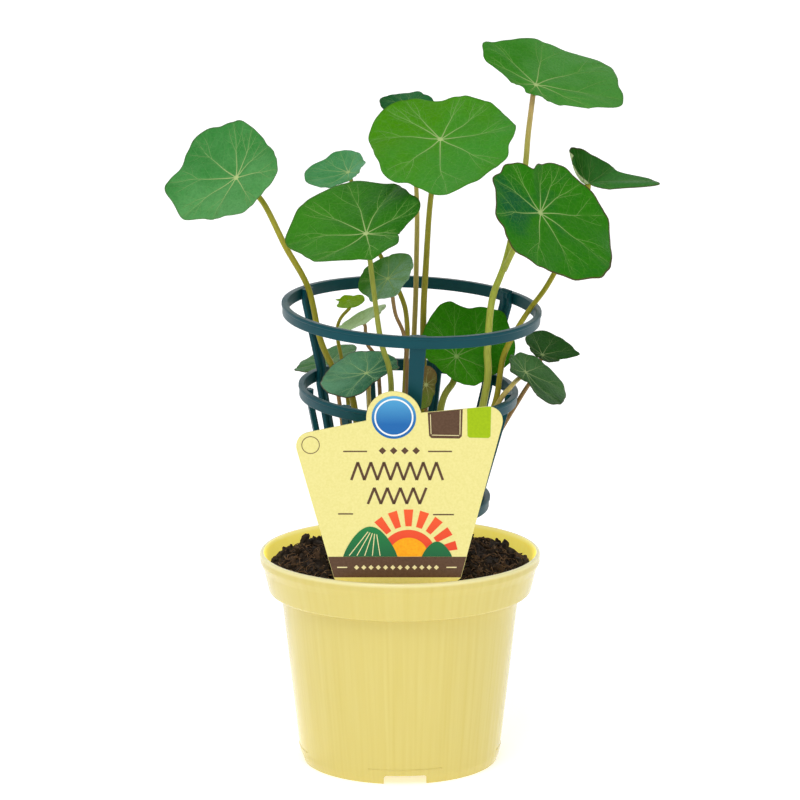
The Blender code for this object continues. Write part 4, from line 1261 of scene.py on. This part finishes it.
def vein_boss(blade, face, turns=18):
    """The small star where the veins meet over the stalk, on one side of the blade."""
    radius = 0.9 + blade.size / 45
    u, v, heights, values = [0.0], [0.0], [BLADE_HALF + (0.16 if face > 0 else 0.5)], [1.0]
    for part, height, value in ((0.55, 0.12, 1.0), (1.0, -0.06, 0.75)):
        for s in range(turns):
            angle = 2 * pi * s / turns
            reach = radius * part * (1 + 0.14 * cos(9 * angle))
            u.append(reach * cos(angle))
            v.append(reach * sin(angle))
            heights.append(BLADE_HALF + height)
            values.append(value)
    u, v = np.array(u), np.array(v)
    faces = []
    for s in range(1, turns + 1):
        t = s % turns + 1
        faces.append((0, s, t))
        faces.append((s, turns + s, turns + t, t))
    faces.append(tuple(range(2 * turns, turns, -1)))
    points = blade.place(u, v, blade.relief(u, v) + face * np.array(heights))
    return points, faces, np.array(values), blade.plane(u, v)


def vein_mesh(name, blade):
    parts = []
    for order, path, widths, strength in blade.veins:
        for face in (1, -1) if order < TWIG else (1,):
            parts.append(vein_ridge(blade, path, widths, strength, face))
    parts += [vein_boss(blade, face) for face in (1, -1)]
    mesh = closed_mesh(f"veins_{name}", *join_parts([part[:2] for part in parts]))
    set_values(mesh, "strength", np.concatenate([part[2] for part in parts]))
    set_vectors(mesh, "plane", np.concatenate([part[3] for part in parts]))
    return mesh


def make_leaf(name):
    look = LOOKS[name]
    blade = Blade(name)
    add_piece(f"blade_{name}", blade_mesh(name, blade),
              [leaf_material(name, look), underside_material(name, look)], [f"leaf_{name}"])
    add_piece(f"veins_{name}", vein_mesh(name, blade), [vein_material(name, look)])


# The stems
def smooth_route(points, steps=10):
    """A smooth curve through points, with so many steps from each to the next."""
    ends = [points[0], *points, points[-1]]
    route = []
    for i in range(len(points) - 1):
        route += [smooth_between(*ends[i:i + 4], step / steps) for step in range(steps)]
    return route + [points[-1]]


def stem_tube(name):
    """The stem as in the source, with more points, and reaching into the blade's underside."""
    stem = STEMS[name]
    normal = Vector(leaf_axes(LEAVES[name])[2])
    hub = Vector(LEAVES[name].hub)
    route = [hub - normal * STEM_STRAIGHT] + [Vector(p) for p in stem.way]
    lower = []
    if stem.foot:
        route.append(Vector((*stem.foot, SOIL_LIP)))
        lower = [Vector((*stem.foot, SOIL_LIP - 12.0)), Vector((*stem.foot, STEM_SEAT))]
    route = [hub - normal * 0.1, hub - normal * 1.2] + smooth_route(route) + lower
    rng = random.Random(SEED + len(name))
    first, second = rng.uniform(0, 6), rng.uniform(0, 6)
    radii = []
    for index in range(len(route)):
        share = index / (len(route) - 1)
        radius = stem.top_radius + share * (stem.foot_radius - stem.top_radius)
        radius *= 1 + 0.035 * sin(9 * share + first) + 0.02 * sin(23 * share + second)
        radii.append(radius * STEM_THINNER * (STEM_FLARE[index] if index < len(STEM_FLARE) else 1.0))
    return tube(route, radii, STEM_SIDES)


def make_stem(name, leaves):
    parts, shares = [], []
    for leaf in leaves:
        points, faces, along = stem_tube(leaf)
        parts.append((points, faces))
        shares += along
    mesh = new_mesh(f"stalk_{name}", *join_parts(parts))
    set_values(mesh, "along", shares)
    colours = STEMS[leaves[0]].colours
    add_piece(f"stalk_{name}", mesh, [stem_material(f"stalk_{name}", colours)], [f"stem_{name}"])


def make_stems():
    for name in STEMS:
        if name not in RIGHT_PAIR:
            make_stem(name, [name])
    make_stem("right_pair", RIGHT_PAIR)


# The stage
def make_stage():
    """A pale floor that curves up into a backdrop far behind."""
    profile = [(FLOOR_FRONT, 0.0), (FLOOR_END, 0.0)]
    for degrees in (7.5 * step for step in range(1, 13)):
        arc = polar(BACKDROP_CURVE, radians(degrees))
        profile.append((FLOOR_END + arc.y, BACKDROP_CURVE - arc.x))
    profile.append((FLOOR_END + BACKDROP_CURVE, BACKDROP_HEIGHT))
    count = len(profile)
    mesh = bpy.data.meshes.new("floor")
    mesh.from_pydata([(x, y, z) for x in (-FLOOR_HALF_WIDTH, FLOOR_HALF_WIDTH) for y, z in profile], [],
                     [(i, i + 1, count + i + 1, count + i) for i in range(count - 1)])
    mesh.shade_smooth()
    floor = new_object("floor", mesh)
    s = Shades("paper_floor", 0.9, 0.1)
    s.give("Emission Color", (255, 255, 255))
    s.give("Emission Strength", FLOOR_GLOW)
    paper = s.mix(s.noise(s.place(), 3.0), (0.93, 0.93, 0.93, 1), (0.95, 0.95, 0.95, 1))
    mesh.materials.append(s.colour(paper))


def make_lights():
    studio = bpy.data.worlds.new("studio")
    studio.use_nodes = True
    back = studio.node_tree.nodes["Background"]
    back.inputs["Color"].default_value = (1.0, 1.0, 1.0, 1.0)
    back.inputs["Strength"].default_value = WORLD_STRENGTH
    bpy.context.scene.world = studio
    for name, (place, aim, size, power) in LIGHTS.items():
        data = bpy.data.lights.new(name, "AREA")
        data.shape = "RECTANGLE"
        data.size, data.size_y = size
        data.energy = power
        light = new_object(name, data)
        light.location = place
        light.rotation_euler = (Vector(aim) - Vector(place)).to_track_quat("-Z", "Y").to_euler()


def make_camera():
    data = bpy.data.cameras.new("camera")
    data.sensor_width = SENSOR
    data.lens = FOCAL_PIXELS / IMAGE_WIDTH * SENSOR
    camera = new_object("camera", data)
    camera.location = world(CAMERA_PLACE)
    camera.rotation_euler = (radians(90 - CAMERA_DOWN), 0.0, 0.0)
    bpy.context.scene.camera = camera


make_camera()
make_lights()
make_stage()
bpy.context.scene.view_settings.view_transform = "Standard"

make_pot()
make_pot_lines()
make_soil_bed()
make_crumbs()
make_fibres()
make_cage()
make_label()
for leaf_name in LEAVES:
    make_leaf(leaf_name)
make_stems()
